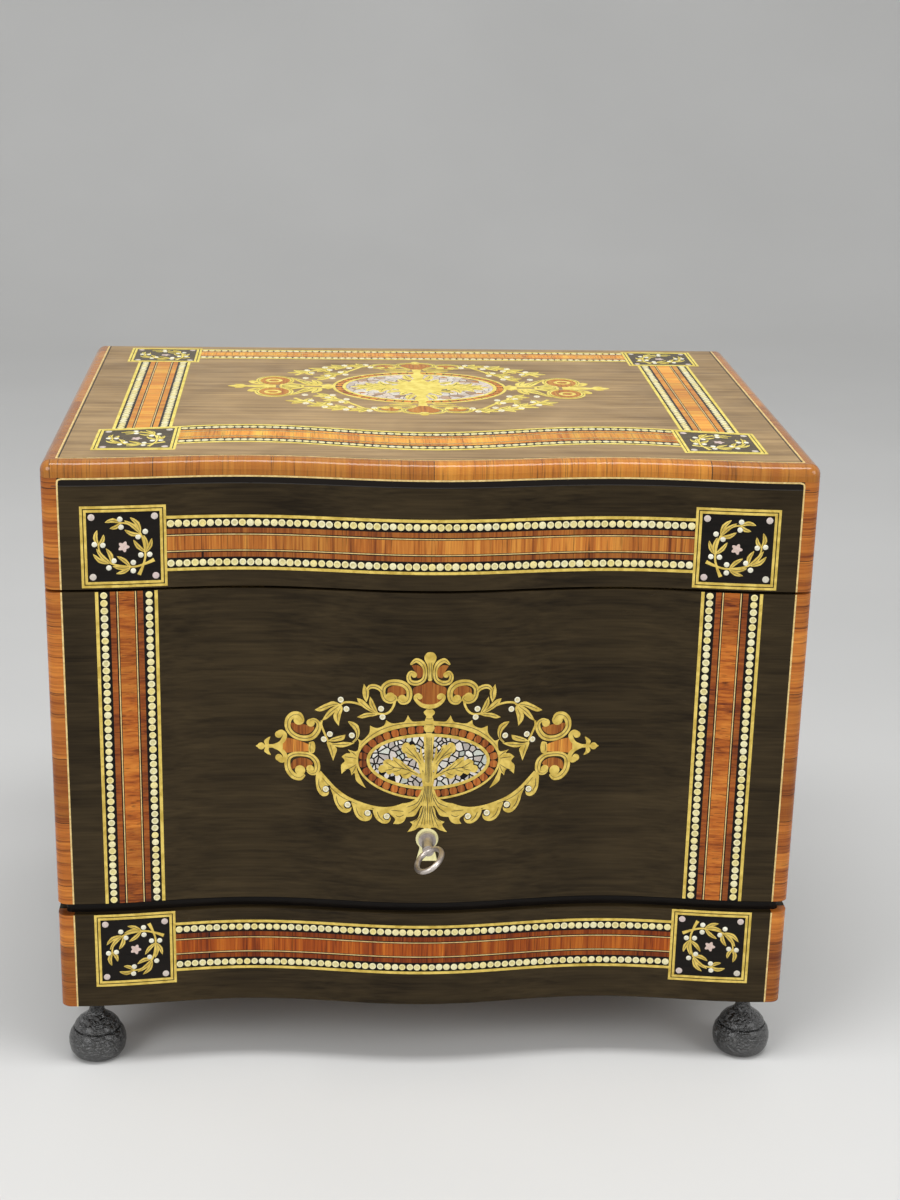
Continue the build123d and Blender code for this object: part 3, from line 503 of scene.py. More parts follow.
class Finishes:
    """Every finish of the cabinet, made once."""

    def __init__(self, sizes: Frame) -> None:
        """Makes the materials.

        Args:
            sizes: the levels that two of the finishes change at.
        """
        dark, light = (0.014, 0.0092, 0.004), (0.054, 0.037, 0.0165)
        black, brown = (0.0045, 0.0036, 0.003), (0.012, 0.009, 0.007)
        self.front_ebony = PolishedWood("front_ebony", dark, light).material()
        self.black_ebony = PolishedWood("black_ebony", black, brown).material()
        self.side_ebony = PolishedWood("side_ebony", dark, light, Grain.ALONG_Y).material()
        self.top_ebony = LidTop(
            "top_ebony", (0.15, 0.092, 0.042), (0.50, 0.335, 0.16), gloss=0.3, sheen=0.12,
            figure=20.0, edge=(sizes.lid_top - 0.4) * MM,
        ).material()
        self.ground = PolishedWood("marquetry_ground", black, brown, sheen=0.12).material()
        self.upright = Rosewood("rosewood_upright_grain", Grain.ALONG_Z).material()
        self.level = Rosewood(
            "rosewood_level_grain", Grain.ALONG_X,
            (0.13, 0.02, 0.004), (0.43, 0.11, 0.012), (0.62, 0.21, 0.028),
        ).material()
        # The lid's top rosewood is painted lighter than the front's: painted light, standing in for
        # the lamps shining down on the top.
        painted_top_light = ((0.52, 0.15, 0.012), (0.82, 0.32, 0.025), (0.93, 0.50, 0.06))
        self.deep = Rosewood("rosewood_deep_grain", Grain.ALONG_Y, *painted_top_light, coat=0.0).material()
        self.across = Rosewood("rosewood_lid_sides", Grain.ALONG_X, *painted_top_light, coat=0.0).material()
        self.plinth = Rosewood(
            "rosewood_dark", Grain.ALONG_Z,
            (0.09, 0.012, 0.003), (0.32, 0.06, 0.005), (0.54, 0.15, 0.014), coat=0.0,
        ).material()
        self.corner = Rosewood(
            "rosewood_corner", Grain.ACROSS_Z,
            (0.17, 0.035, 0.006), (0.42, 0.125, 0.018), (0.60, 0.22, 0.034), joint_axis=2,
        ).material()
        self.nosing = Rosewood(
            "rosewood_nosing", Grain.ACROSS_Y,
            (0.42, 0.13, 0.012), (0.52, 0.19, 0.018), (0.62, 0.26, 0.03),
            joint_length=0.12, mitre=(sizes.half_width * MM, sizes.front * MM),
            gloss=0.14, coat=0.35,
        ).material()
        self.oak = PolishedWood(
            "waxed_oak", (0.16, 0.085, 0.035), (0.36, 0.21, 0.10), gloss=0.42, sheen=0.3,
            figure=30.0,
        ).material()
        self.tray = PolishedWood(
            "tray_rosewood", (0.10, 0.03, 0.012), (0.25, 0.085, 0.03), gloss=0.3, sheen=0.4,
            figure=22.0,
        ).material()
        self.lid_field = PolishedWood(
            "lid_plaque_field", (0.045, 0.033, 0.018), (0.12, 0.09, 0.05)
        ).material()
        self.boxwood = Plain("boxwood", (0.60, 0.41, 0.14), (0.84, 0.63, 0.26)).material()
        self.mastic = Plain(
            "black_mastic", (0.006, 0.005, 0.004), (0.016, 0.012, 0.008), 0.5
        ).material()
        self.inlay_brass = Metal(
            "inlay_brass", (0.56, 0.385, 0.06), (0.82, 0.61, 0.14), 0.4, 0.4
        ).material()
        self.lid_brass = Metal(
            "lid_brass", (0.78, 0.60, 0.09), (0.95, 0.80, 0.20), 0.42, 0.25
        ).material()
        self.brass = Metal(
            "polished_brass", (0.62, 0.42, 0.14), (0.86, 0.64, 0.27), 0.22
        ).material()
        self.pale_brass = Metal(
            "escutcheon_brass", (0.80, 0.72, 0.34), (0.92, 0.86, 0.46), 0.4, 0.15
        ).material()
        self.steel = Metal(
            "worn_steel", (0.32, 0.28, 0.26), (0.54, 0.49, 0.45), 0.3, 0.75, 160.0, 0.02
        ).material()
        self.pearl = Pearl("tinted_pearl").material()
        self.knurled = Knurled("knurled_black_wood").material()
        self.glass = Glass("clear_glass").material()


class Face(Protocol):
    """A face of the cabinet that flat work is let into."""

    hand: int

    def at(self, u: float, v: float, h: float) -> Vector:
        """Point in metres at u across, v along and h above the face, all in millimetres."""


def wave(u: float, swing: float = SWING) -> float:
    """How far a serpentine line lies behind its foremost points, at u from its middle."""
    return swing / 2 * (1 - math.cos(2 * math.pi * u / PITCH))


@dataclass(frozen=True)
class SerpentineFace:
    """The curved front, with u along X and v upwards."""

    front: float
    hand: int = 1

    def at(self, u: float, v: float, h: float) -> Vector:
        """Point on the front."""
        return Vector((u, self.front + wave(u) - h, v)) * MM


@dataclass(frozen=True)
class LidFace:
    """The flat top of the lid, with u along X and v backwards from a centre or from a wave."""

    level: float
    centre: Point = (0.0, 0.0)
    swing: float = 0.0
    hand: int = 1

    def at(self, u: float, v: float, h: float) -> Vector:
        """Point on the top."""
        back = wave(u, self.swing)
        return Vector((u + self.centre[0], v + self.centre[1] + back, self.level + h)) * MM


@dataclass(frozen=True)
class SideFace:
    """The left side (hand -1) or the right side (hand 1), with u backwards and v upwards."""

    reach: float
    hand: int

    def at(self, u: float, v: float, h: float) -> Vector:
        """Point on the side."""
        return Vector((self.hand * (self.reach + h), u, v)) * MM


@dataclass(frozen=True)
class ShiftedFace:
    """Another face with its origin moved, and its drawing stretched where asked."""

    base: Face
    du: float
    dv: float
    stretch: Point = (1.0, 1.0)

    @property
    def hand(self) -> int:
        """Which way round outlines run."""
        return self.base.hand

    def at(self, u: float, v: float, h: float) -> Vector:
        """Point from the moved origin."""
        return self.base.at(u * self.stretch[0] + self.du, v * self.stretch[1] + self.dv, h)


@dataclass(frozen=True)
class SwappedFace:
    """Another face with u and v exchanged, for bands that run the other way."""

    base: Face
    shift: float = 0.0

    @property
    def hand(self) -> int:
        """Which way round outlines run."""
        return -self.base.hand

    def at(self, u: float, v: float, h: float) -> Vector:
        """Point with its coordinates exchanged, v measured from the shift."""
        return self.base.at(v + self.shift, u, h)


@dataclass(frozen=True)
class SkewedFace:
    """A rectangle laid on another face between four corners.

    The corners go round from low u and v, by high u, as points of the base face.
    """

    base: Face
    corners: tuple[Point, Point, Point, Point]
    reach: Point
    hand: int = 1

    def at(self, u: float, v: float, h: float) -> Vector:
        """Point of the rectangle.

        Args:
            u, v: its place, each from minus to plus its reach.
            h: height above the face.

        Returns:
            The point in metres.
        """
        s, t = (u / self.reach[0] + 1) / 2, (v / self.reach[1] + 1) / 2
        a, b, c, d = self.corners
        x = (1 - t) * ((1 - s) * a[0] + s * b[0]) + t * ((1 - s) * d[0] + s * c[0])
        y = (1 - t) * ((1 - s) * a[1] + s * b[1]) + t * ((1 - s) * d[1] + s * c[1])
        return self.base.at(x, y, h)


@dataclass(frozen=True)
class Pattern:
    """A shape modelled once, with z 0 at its sunk foot, 1 at its edge and 2 at its crown."""

    points: tuple[tuple[float, float, float], ...]
    faces: tuple[tuple[int, ...], ...]


class Workshop:
    """Models each shape that is used again and again once, by hand operators."""

    def pick(self, wanted: Callable[[Vector], bool]) -> None:
        """Selects points of the shape in work.

        Args:
            wanted: tells from a point's place whether it is selected.
        """
        data = bpy.context.object.data
        mesh = bmesh.from_edit_mesh(data)
        for vert in mesh.verts:
            vert.select = wanted(vert.co)
        mesh.select_flush_mode()
        bmesh.update_edit_mesh(data)

    def raised(self, share: float, rise: float) -> None:
        """Draws the selected face up, and in to a share of its size."""
        bpy.ops.mesh.extrude_region_move(TRANSFORM_OT_translate={"value": (0, 0, rise)})
        bpy.ops.transform.resize(value=(share, share, 1))

    def finished(self) -> Pattern:
        """Takes the shape in work off the bench.

        Returns:
            The shape.
        """
        bpy.ops.mesh.select_all(action="SELECT")
        bpy.ops.mesh.normals_make_consistent(inside=False)
        bpy.ops.object.mode_set(mode="OBJECT")
        piece = bpy.context.object
        data = piece.data
        points = tuple(tuple(vert.co) for vert in data.vertices)
        pattern = Pattern(points, tuple(tuple(face.vertices) for face in data.polygons))
        bpy.data.objects.remove(piece)
        bpy.data.meshes.remove(data)
        return pattern

    @cache
    def lath(self, steps: int) -> Pattern:
        """Long slip with a raised middle line, from -1 to 1 both ways.

        Args:
            steps: how many lengths it is divided into.

        Returns:
            The shape.
        """
        bpy.ops.mesh.primitive_grid_add(x_subdivisions=steps, y_subdivisions=2, size=2)
        bpy.ops.object.mode_set(mode="EDIT")
        bpy.ops.mesh.extrude_region_move(TRANSFORM_OT_translate={"value": (0, 0, 1)})
        self.pick(lambda place: place.z > 0.5 and abs(place.y) < 0.01)
        bpy.ops.transform.translate(value=(0, 0, 1))
        return self.finished()

    @cache
    def button(self, sides: int, rings: tuple[Point, ...]) -> Pattern:
        """Round piece of radius 1, drawn up through rings of radius and level.

        Args:
            sides: number of sides.
            rings: radius and level of each ring above the edge.

        Returns:
            The shape.
        """
        bpy.ops.mesh.primitive_circle_add(vertices=sides, radius=1, fill_type="NGON")
        bpy.ops.object.mode_set(mode="EDIT")
        bpy.ops.mesh.select_all(action="SELECT")
        self.raised(1.0, 1.0)
        radius, level = 1.0, 1.0
        for next_radius, next_level in rings:
            self.raised(next_radius / radius, next_level - level)
            radius, level = next_radius, next_level
        return self.finished()


WORKSHOP = Workshop()


def new_piece(name: str, points: Sequence[Vector], faces: Sequence[tuple[int, ...]],
              material: Material, angle: float) -> bpy.types.Object:
    """Adds a finished piece.

    Args:
        name: its name.
        points: its points, in metres.
        faces: its faces, as numbers of points.
        material: its finish.
        angle: angle in degrees above which its edges stay sharp.

    Returns:
        The piece.
    """
    bpy.ops.object.add(type="MESH")
    piece = bpy.context.object
    piece.name = name
    piece.data.from_pydata(points, [], faces)
    piece.data.materials.append(material)
    bpy.ops.object.shade_smooth_by_angle(angle=math.radians(angle))
    bpy.ops.object.select_all(action="DESELECT")
    return piece


class Layer(Enum):
    """How each kind of flat work is let in, in millimetres.

    The numbers are the height of its edge above the face, the height of its middle line above its
    edge, and how far it goes into the face.
    """

    FIELD = (0.02, 0.0, 0.12)
    JOINT = (0.03, 0.0, 0.12)
    DARK_LINE = (0.04, 0.0, 0.12)
    VENEER = (0.05, 0.0, 0.12)
    LAUREL = (0.05, 0.1, 0.12)
    CHIPS = (0.055, 0.0, 0.12)
    SIDE_STRING = (0.06, 0.0, 0.12)
    STRING = (0.07, 0.0, 0.12)
    BAND_BRASS = (0.08, 0.0, 0.12)
    FRAME = (0.09, 0.0, 0.12)
    CUT_BRASS = (0.09, 0.05, 0.12)
    ENGRAVING = (0.19, 0.0, -0.1)
    RIB = (0.2, 0.0, -0.1)


# Rings of a domed disc, and of a disc with a dished eye, with the eye's reach.
DOME = ((0.8, 2.0), (0.35, 2.3))
EYE = ((0.84, 2.0), (0.68, 1.9), (0.6, 1.5))
EYE_REACH = 0.64


class FlatWork:
    """Thin pieces of one finish, let into one face and kept as one mesh.

    Neighbours differ a little in height, so that no two of their tops share a plane.
    """

    stagger = 0.004
    stagger_steps = 8
    just_above_edge = 1.001
    strip_step = 4.0
    slice_width = 4.5
    least_area = 0.02
    sharp_angle = 35.0

    def __init__(self, name: str, face: Face, layer: Layer) -> None:
        """Starts an empty piece.

        Args:
            name: the piece's name.
            face: the face that it lies in.
            layer: how it is let in.
        """
        self.name, self.face = name, face
        self.proud, self.crown, self.sunk = layer.value
        self.points: list[Vector] = []
        self.faces: list[tuple[int, ...]] = []
        self.tints: list[Colour] = []
        self.laid = 0

    def lay(self, pattern: Pattern, spot: Callable[[float, float], Point],
            tint: Callable[[float, float], Colour], crown: float) -> None:
        """Copies a pattern into the face.

        Args:
            pattern: the shape.
            spot: gives u and v for its x and y.
            tint: gives the colour for its x and y.
            crown: height of its crown above its edge.
        """
        start = len(self.points)
        proud = self.proud + self.stagger * (self.laid % self.stagger_steps)
        self.laid += 1
        for x, y, z in pattern.points:
            if z < self.just_above_edge:
                height = (self.sunk + proud) * z - self.sunk
            else:
                height = proud + crown * (z - 1)
            self.points.append(self.face.at(*spot(x, y), height))
            self.tints.append(tint(x, y))
        for corners in pattern.faces:
            order = corners if self.face.hand > 0 else tuple(reversed(corners))
            self.faces.append(tuple(start + corner for corner in order))

    def between(self, left: Outline, right: Outline, tint: Colour = WHITE) -> None:
        """Adds a piece between two lines of as many points.

        Args:
            left, right: the lines on its left and on its right.
            tint: its colour.
        """
        count = len(left) - 1

        def spot(x: float, y: float) -> Point:
            """Place between the two lines."""
            i, share = round((x + 1) / 2 * count), (y + 1) / 2
            return tuple(r + (l - r) * share for l, r in zip(left[i], right[i]))

        self.lay(WORKSHOP.lath(count), spot, lambda x, y: tint, self.crown)

    def ribbon(self, line: Outline, widths: Sequence[float], tint: Colour = WHITE) -> None:
        """Adds a strip along a line, with widths at equal steps."""
        self.between(*edges(line, widths), tint)

    def strip(self, u0: float, u1: float, v0: float, v1: float, tint: Colour = WHITE) -> None:
        """Adds a straight strip that follows the face's curve.

        Args:
            u0, u1: where it starts and ends.
            v0, v1: its edges.
            tint: its colour.
        """
        count = max(1, round(abs(u1 - u0) / self.strip_step))
        middle = (v0 + v1) / 2
        line = [(u0 + (u1 - u0) * i / count, middle) for i in range(count + 1)]
        self.ribbon(line, (abs(v1 - v0),) * 2, tint)

    def disc(self, u: float, v: float, radius: float, rim: Colour = WHITE,
             eye: Colour | None = None, sides: int = 12, crown: float = 0.2) -> None:
        """Adds a round piece, domed, or dished where it has an eye of another colour.

        Args:
            u, v: its middle.
            radius: its radius.
            rim: its colour.
            eye: the colour of its eye.
            sides: number of its sides.
            crown: height of its crown above its edge.
        """
        pattern = WORKSHOP.button(sides, DOME if eye is None else EYE)

        def tint(x: float, y: float) -> Colour:
            """Colour of the eye or of the rim."""
            return eye if eye is not None and math.hypot(x, y) < EYE_REACH else rim

        self.lay(pattern, lambda x, y: (u + radius * x, v + radius * y), tint, crown)

    def outline(self, points: Outline, tint: Colour = WHITE) -> None:
        """Adds a flat piece, in slices narrow enough to follow the face's curve.

        Args:
            points: its outline.
            tint: its colour.
        """
        low, high = min(u for u, _ in points), max(u for u, _ in points)
        slices = max(1, math.ceil((high - low) / self.slice_width))
        width = (high - low) / slices
        laid = self.laid
        for number in range(slices):
            cell = list(points)
            if slices > 1:
                left, right = low + width * number, low + width * (number + 1)
                cell = clipped(cell, (right - 1, 0.0), (right + 1, 0.0), 0.0)
                cell = clipped(cell, (left + 1, 0.0), (left - 1, 0.0), 0.0)
            after = [*cell[1:], *cell[:1]]
            doubled = sum(a[0] * b[1] - b[0] * a[1] for a, b in zip(cell, after))
            if len(cell) > 2 and abs(doubled) > 2 * self.least_area:
                self.laid = laid
                self.plate(cell if doubled > 0 else cell[::-1], tint)

    def plate(self, points: Outline, tint: Colour) -> None:
        """Adds one flat piece.

        Args:
            points: its outline, anticlockwise.
            tint: its colour.
        """
        count = len(points)

        def spot(x: float, y: float) -> Point:
            """Point of the outline that a corner of the pattern stands for."""
            turn = math.atan2(y, x) - math.pi / 2
            return points[round(turn / (2 * math.pi) * count) % count]

        self.lay(WORKSHOP.button(count, ()), spot, lambda x, y: tint, 0.0)

    def finish(self, material: Material, body: str) -> None:
        """Turns the flat work into a piece on its body.

        Args:
            material: its finish.
            body: the body that it rides on.
        """
        piece = new_piece(self.name, self.points, self.faces, material, self.sharp_angle)
        tints = piece.data.color_attributes.new(name=TINT, type="FLOAT_COLOR", domain="POINT")
        tints.data.foreach_set("color", [value for tint in self.tints for value in (*tint, 1.0)])
        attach(piece, body)
        LOG.info("%s: %d faces on %s", self.name, len(piece.data.polygons), body)


def curve(points: Outline, per_span: int = 5) -> list[Point]:
    """Smooth line through the points.

    Args:
        points: the points that the line goes through.
        per_span: how many steps there are between two points.

    Returns:
        The points along the line.
    """
    ends = [points[0], *points, points[-1]]
    line = []
    for a, b, c, d in zip(ends, ends[1:], ends[2:], ends[3:]):
        for i in range(per_span):
            t = i / per_span
            weights = (-t + 2 * t * t - t**3, 2 - 5 * t * t + 3 * t**3,
                       t + 4 * t * t - 3 * t**3, t**3 - t * t)
            pulls = list(zip(weights, (a, b, c, d)))
            line.append(tuple(sum(w * p[k] for w, p in pulls) / 2 for k in (0, 1)))
    line.append(tuple(points[-1]))
    return line


def closed(points: Outline, steps: int = 3) -> list[Point]:
    """Closed line through the points: smooth, with a corner at each point that is given twice.

    Args:
        points: the points that the line goes through.
        steps: how many steps there are between two points.

    Returns:
        The points along the line.
    """
    after = [*points[1:], points[0]]
    corner = next((i for i, (a, b) in enumerate(zip(points, after)) if a == b), None)
    if corner is None:
        return curve((*points, points[0]), steps)[:-1]
    line: list[Point] = []
    run: list[Point] = []
    for point in (*points[corner + 1 :], *points[: corner + 1]):
        if run and run[-1] == point:
            line += curve(run, steps)[:-1]
            run = []
        run.append(point)
    return line + curve(run, steps)[:-1]


def edges(line: Outline, widths: Sequence[float]) -> tuple[list[Point], list[Point]]:
    """Left and right edges of a line with a changing width.

    Args:
        line: the middle line.
        widths: widths at equal steps along it.

    Returns:
        The points of both edges.
    """
    left, right = [], []
    last = len(line) - 1
    for i, (u, v) in enumerate(line):
        before, after = line[max(0, i - 1)], line[min(last, i + 1)]
        du, dv = after[0] - before[0], after[1] - before[1]
        length = math.hypot(du, dv) or 1.0
        place = i / last * (len(widths) - 1)
        low = min(int(place), len(widths) - 2)
        half = (widths[low] + (widths[low + 1] - widths[low]) * (place - low)) / 2
        left.append((u - dv / length * half, v + du / length * half))
        right.append((u + dv / length * half, v - du / length * half))
    return left, right


def arc(centre: Point, radii: Point, start: float, end: float, steps: int) -> list[Point]:
    """Points along part of an ellipse, between two angles in degrees."""
    turns = [math.radians(start + (end - start) * i / steps) for i in range(steps + 1)]
    return [(centre[0] + radii[0] * math.cos(a), centre[1] + radii[1] * math.sin(a)) for a in turns]


def bent(base: Point, tip: Point, bend: float) -> list[Point]:
    """Bent line between two points.

    Args:
        base: where it starts.
        tip: where it ends.
        bend: how far its middle is moved to its right, in millimetres.

    Returns:
        Its two ends with its middle between them.
    """
    du, dv = tip[0] - base[0], tip[1] - base[1]
    length = math.hypot(du, dv) or 1.0
    middle_u = (base[0] + tip[0]) / 2 + dv / length * bend
    middle_v = (base[1] + tip[1]) / 2 - du / length * bend
    return [base, (middle_u, middle_v), tip]


def clipped(cell: Outline, seed: Point, other: Point, gap: float) -> list[Point]:
    """The part of a cell that lies nearer to its seed than to another seed.

    Args:
        cell: the cell's outline.
        seed: its own seed.
        other: the other seed.
        gap: joint that is left between the two.

    Returns:
        The outline that is left.
    """
    du, dv = other[0] - seed[0], other[1] - seed[1]
    length = math.hypot(du, dv)
    du, dv = du / length, dv / length
    limit = (seed[0] + other[0]) / 2 * du + (seed[1] + other[1]) / 2 * dv - gap / 2
    kept: list[Point] = []
    for a, b in zip(cell, [*cell[1:], cell[0]]):
        da, db = a[0] * du + a[1] * dv - limit, b[0] * du + b[1] * dv - limit
        if da <= 0:
            kept.append(a)
        if da * db < 0:
            share = da / (da - db)
            kept.append((a[0] + (b[0] - a[0]) * share, a[1] + (b[1] - a[1]) * share))
    return kept


@dataclass
class Band:
    """One marquetry band: brass edges, dots, rosewood strips and boxwood strings.

    It runs along u with its middle at v = 0. Spans are distances from the middle for a band of the
    usual width, and squeeze is this band's width against that.
    """

    name: str
    face: Face
    start: float
    end: float
    finishes: Finishes
    rosewood: Material
    body: str
    squeeze: float = 1.0
    metal: Material | None = None
    brass: Point = (11.1, 12.4)
    outer_rosewood: Point = (4.3, 6.5)
    boxwood: Point = (3.4, 3.8)
    inner_rosewood: float = 3.1
    dot_line: float = 8.9
    dot_radius: float = 1.6
    dot_pitch: float = 3.42
    dot_crown: float = 0.12
    stray: Point = (0.1, 0.07)
    eyes: float = 0.7
    strip_shade: float = 0.62
    shades: Point = (0.8, 1.1)
    lengths: Point = (18.0, 40.0)
    least_length: float = 8.0

    def lines(self, kind: str, span: Point, material: Material, layer: Layer) -> None:
        """Adds one unbroken strip on each side of the middle.

        Args:
            kind: the last word of the piece's name.
            span: its two edges, from the middle.
            material: its finish.
            layer: how it is let in.
        """
        work = FlatWork(f"{self.name}_{kind}", self.face, layer)
        low, high = (distance * self.squeeze for distance in span)
        for side in SIDES:
            work.strip(self.start, self.end, side * low, side * high)
        work.finish(material, self.body)

    def veneer(self, chance: random.Random) -> None:
        """Adds the rosewood in short lengths, each with its own shade.

        Args:
            chance: the band's own run of chance.
        """
        work = FlatWork(f"{self.name}_rosewood", self.face, Layer.VENEER)
        near, far = (distance * self.squeeze for distance in self.outer_rosewood)
        middle, outer_shade = self.inner_rosewood * self.squeeze, self.strip_shade
        spans = ((near, far, outer_shade), (-near, -far, outer_shade), (-middle, middle, 1.0))
        for low, high, darker in spans:
            place = self.start
            while place < self.end:
                reach = min(self.end, place + chance.uniform(*self.lengths))
                if self.end - reach < self.least_length:
                    reach = self.end
                shade = chance.uniform(*self.shades) * darker
                redder = shade * (0.6 + 0.4 * darker)
                work.strip(place, reach, low, high, (shade, redder, redder))
                place = reach
        work.finish(self.rosewood, self.body)

    def dots(self, chance: random.Random) -> None:
        """Adds both rows of pale dots with their darker eyes.

        Args:
            chance: the band's own run of chance.
        """
        work = FlatWork(f"{self.name}_dots", self.face, Layer.VENEER)
        along, across = self.stray
        length = self.end - self.start
        count = round(length / self.dot_pitch)
        for side in SIDES:
            for i in range(count):
                u = self.start + (i + 0.5) * length / count + chance.uniform(-along, along)
                v = side * self.dot_line * self.squeeze + chance.uniform(-across, across)
                warm, pale = chance.uniform(0.0, 1.0), chance.uniform(0.78, 0.96)
                rim = (0.90, 0.85 - 0.07 * warm, 0.56 - 0.22 * warm)
                eye = None
                if chance.random() < self.eyes:
                    eye = (rim[0] * pale, rim[1] * pale * 0.97, rim[2] * pale * 0.8)
                radius = self.dot_radius * chance.uniform(0.95, 1.03)
                work.disc(u, v, radius, rim, eye, crown=self.dot_crown)
        work.finish(self.finishes.pearl, self.body)

    def make(self) -> None:
        """Builds the whole band."""
        chance = random.Random(self.name)
        metal = self.metal or self.finishes.inlay_brass
        self.lines("brass", self.brass, metal, Layer.BAND_BRASS)
        self.lines("boxwood", self.boxwood, self.finishes.boxwood, Layer.STRING)
        self.veneer(chance)
        self.dots(chance)


@dataclass
class Plaque:
    """Square plaque: brass frame, black field, corner discs, laurel wreath and flower."""

    name: str
    face: Face
    body: str
    finishes: Finishes
    mirror: int = 1
    flip: int = 1
    metal: Material | None = None
    field_finish: Material | None = None
    half: float = 18.25
    frame_width: float = 2.7
    frame_gap: float = 0.45
    disc_inset: float = 4.9
    disc_radius: float = 1.5
    berry_radius: float = 1.2
    star_reach: Point = (2.05, 0.5)
    star_points: int = 30
    star_pink: Colour = (0.74, 0.57, 0.52)
    stem: Outline = (
        (-12.8, -6.2), (-8.9, -7.9), (-3.4, -9.1), (5.4, -7.4), (9.9, -2.5), (10.7, 1.2),
    )
    stem_widths: Sequence[float] = (1.7, 0.9, 0.8, 0.7, 0.7)
    leaves: Sequence[tuple[Point, Point, float, float]] = (
        ((-2.6, -9.0), (2.9, -4.2), 1.9, -0.5),
        ((-2.8, -9.2), (4.9, -8.6), 1.9, 0.7),
        ((-2.6, -9.5), (3.4, -12.0), 1.8, 0.5),
        ((5.2, -7.3), (7.5, -0.6), 2.0, -0.8),
        ((5.6, -7.4), (11.6, -0.6), 1.9, 0.6),
        ((6.4, -7.3), (13.0, -3.0), 2.0, 1.0),
        ((10.5, 1.0), (8.3, 5.6), 1.8, -0.6),
        ((10.7, 1.0), (11.0, 7.6), 2.0, 1.0),
    )
    berries: Outline = (
        (-3.9, -7.2), (-3.8, -10.9), (4.3, -6.2), (6.5, -9.3), (8.8, 0.9), (12.3, 1.3),
    )

    def turned(self, point: Point, swapped: bool) -> Point:
        """A point of one branch as it lies on this plaque."""
        u, v = (point[1], point[0]) if swapped else point
        return u * self.mirror, v * self.flip

    def square(self, work: FlatWork, outer: float, inner: float) -> None:
        """Adds four strips between two squares, meeting at their corners.

        Args:
            work: the flat work that they belong to.
            outer: half the side of the outer square.
            inner: half the side of the inner square.
        """
        for turn in range(4):
            c, s = round(math.cos(turn * math.pi / 2)), round(math.sin(turn * math.pi / 2))
            lines = []
            for reach in (inner, outer):
                line = [(-reach + 2 * reach * i / 6, -reach) for i in range(7)]
                lines.append([(u * c - v * s, u * s + v * c) for u, v in line])
            work.between(*lines)

    def frame(self, metal: Material) -> None:
        """Adds the field, where it has a finish of its own, and the double frame.

        Args:
            metal: the frame's finish.
        """
        inside = self.half - self.frame_width
        if self.field_finish is not None:
            ground = FlatWork(f"{self.name}_field", self.face, Layer.FIELD)
            ground.strip(-inside, inside, -inside, inside)
            ground.finish(self.field_finish, self.body)
        brass = FlatWork(f"{self.name}_frame", self.face, Layer.FRAME)
        middle = self.half - self.frame_width / 2
        self.square(brass, self.half, middle + self.frame_gap / 2)
        self.square(brass, middle - self.frame_gap / 2, inside)
        brass.finish(metal, self.body)

    def branch(self, swapped: bool, laurel: FlatWork, ribs: FlatWork) -> None:
        """Adds one branch of the wreath.

        Args:
            swapped: whether it is the branch with u and v exchanged.
            laurel: the flat work of its stem and leaves.
            ribs: the flat work of their ribs.
        """
        laurel.ribbon(curve([self.turned(point, swapped) for point in self.stem]), self.stem_widths)
        way = (-1 if swapped else 1) * self.mirror * self.flip
        for base, tip, width, bend in self.leaves:
            middle = bent(self.turned(base, swapped), self.turned(tip, swapped), bend * way)
            line = curve(middle, 4)
            laurel.ribbon(line, (0.4, width * 0.75, width, width * 0.7, 0.1))
            ribs.ribbon(line[1:-1], (0.1, 0.2, 0.08))

    def make(self) -> None:
        """Builds the plaque."""
        metal = self.metal or self.finishes.inlay_brass
        self.frame(metal)
        laurel = FlatWork(f"{self.name}_laurel", self.face, Layer.LAUREL)
        pearl = FlatWork(f"{self.name}_pearl", self.face, Layer.VENEER)
        ribs = FlatWork(f"{self.name}_ribs", self.face, Layer.RIB)
        chance = random.Random(self.name)
        for swapped in (False, True):
            self.branch(swapped, laurel, ribs)
            for berry in self.berries:
                white = chance.uniform(0.78, 0.92)
                tint = (white, white * 0.98, white * 0.82)
                pearl.disc(*self.turned(berry, swapped), self.berry_radius, tint)
        corner = self.half - self.disc_inset
        for u, v in [(corner * su, corner * sv) for su in SIDES for sv in SIDES]:
            pink = chance.uniform(0.0, 1.0)
            tint = (0.68, 0.65 - 0.10 * pink, 0.56 - 0.02 * pink)
            pearl.disc(u, v, self.disc_radius, tint, crown=0.1)
        turns = [2 * math.pi * i / self.star_points for i in range(self.star_points)]
        mean, swing = self.star_reach
        reaches = [mean + swing * math.cos(5 * turn + 0.4) for turn in turns]
        star = [(r * math.cos(a), r * math.sin(a)) for a, r in zip(turns, reaches)]
        pearl.outline(star, self.star_pink)
        pearl.finish(self.finishes.pearl, self.body)
        laurel.finish(metal, self.body)
        ribs.finish(self.finishes.mastic, self.body)


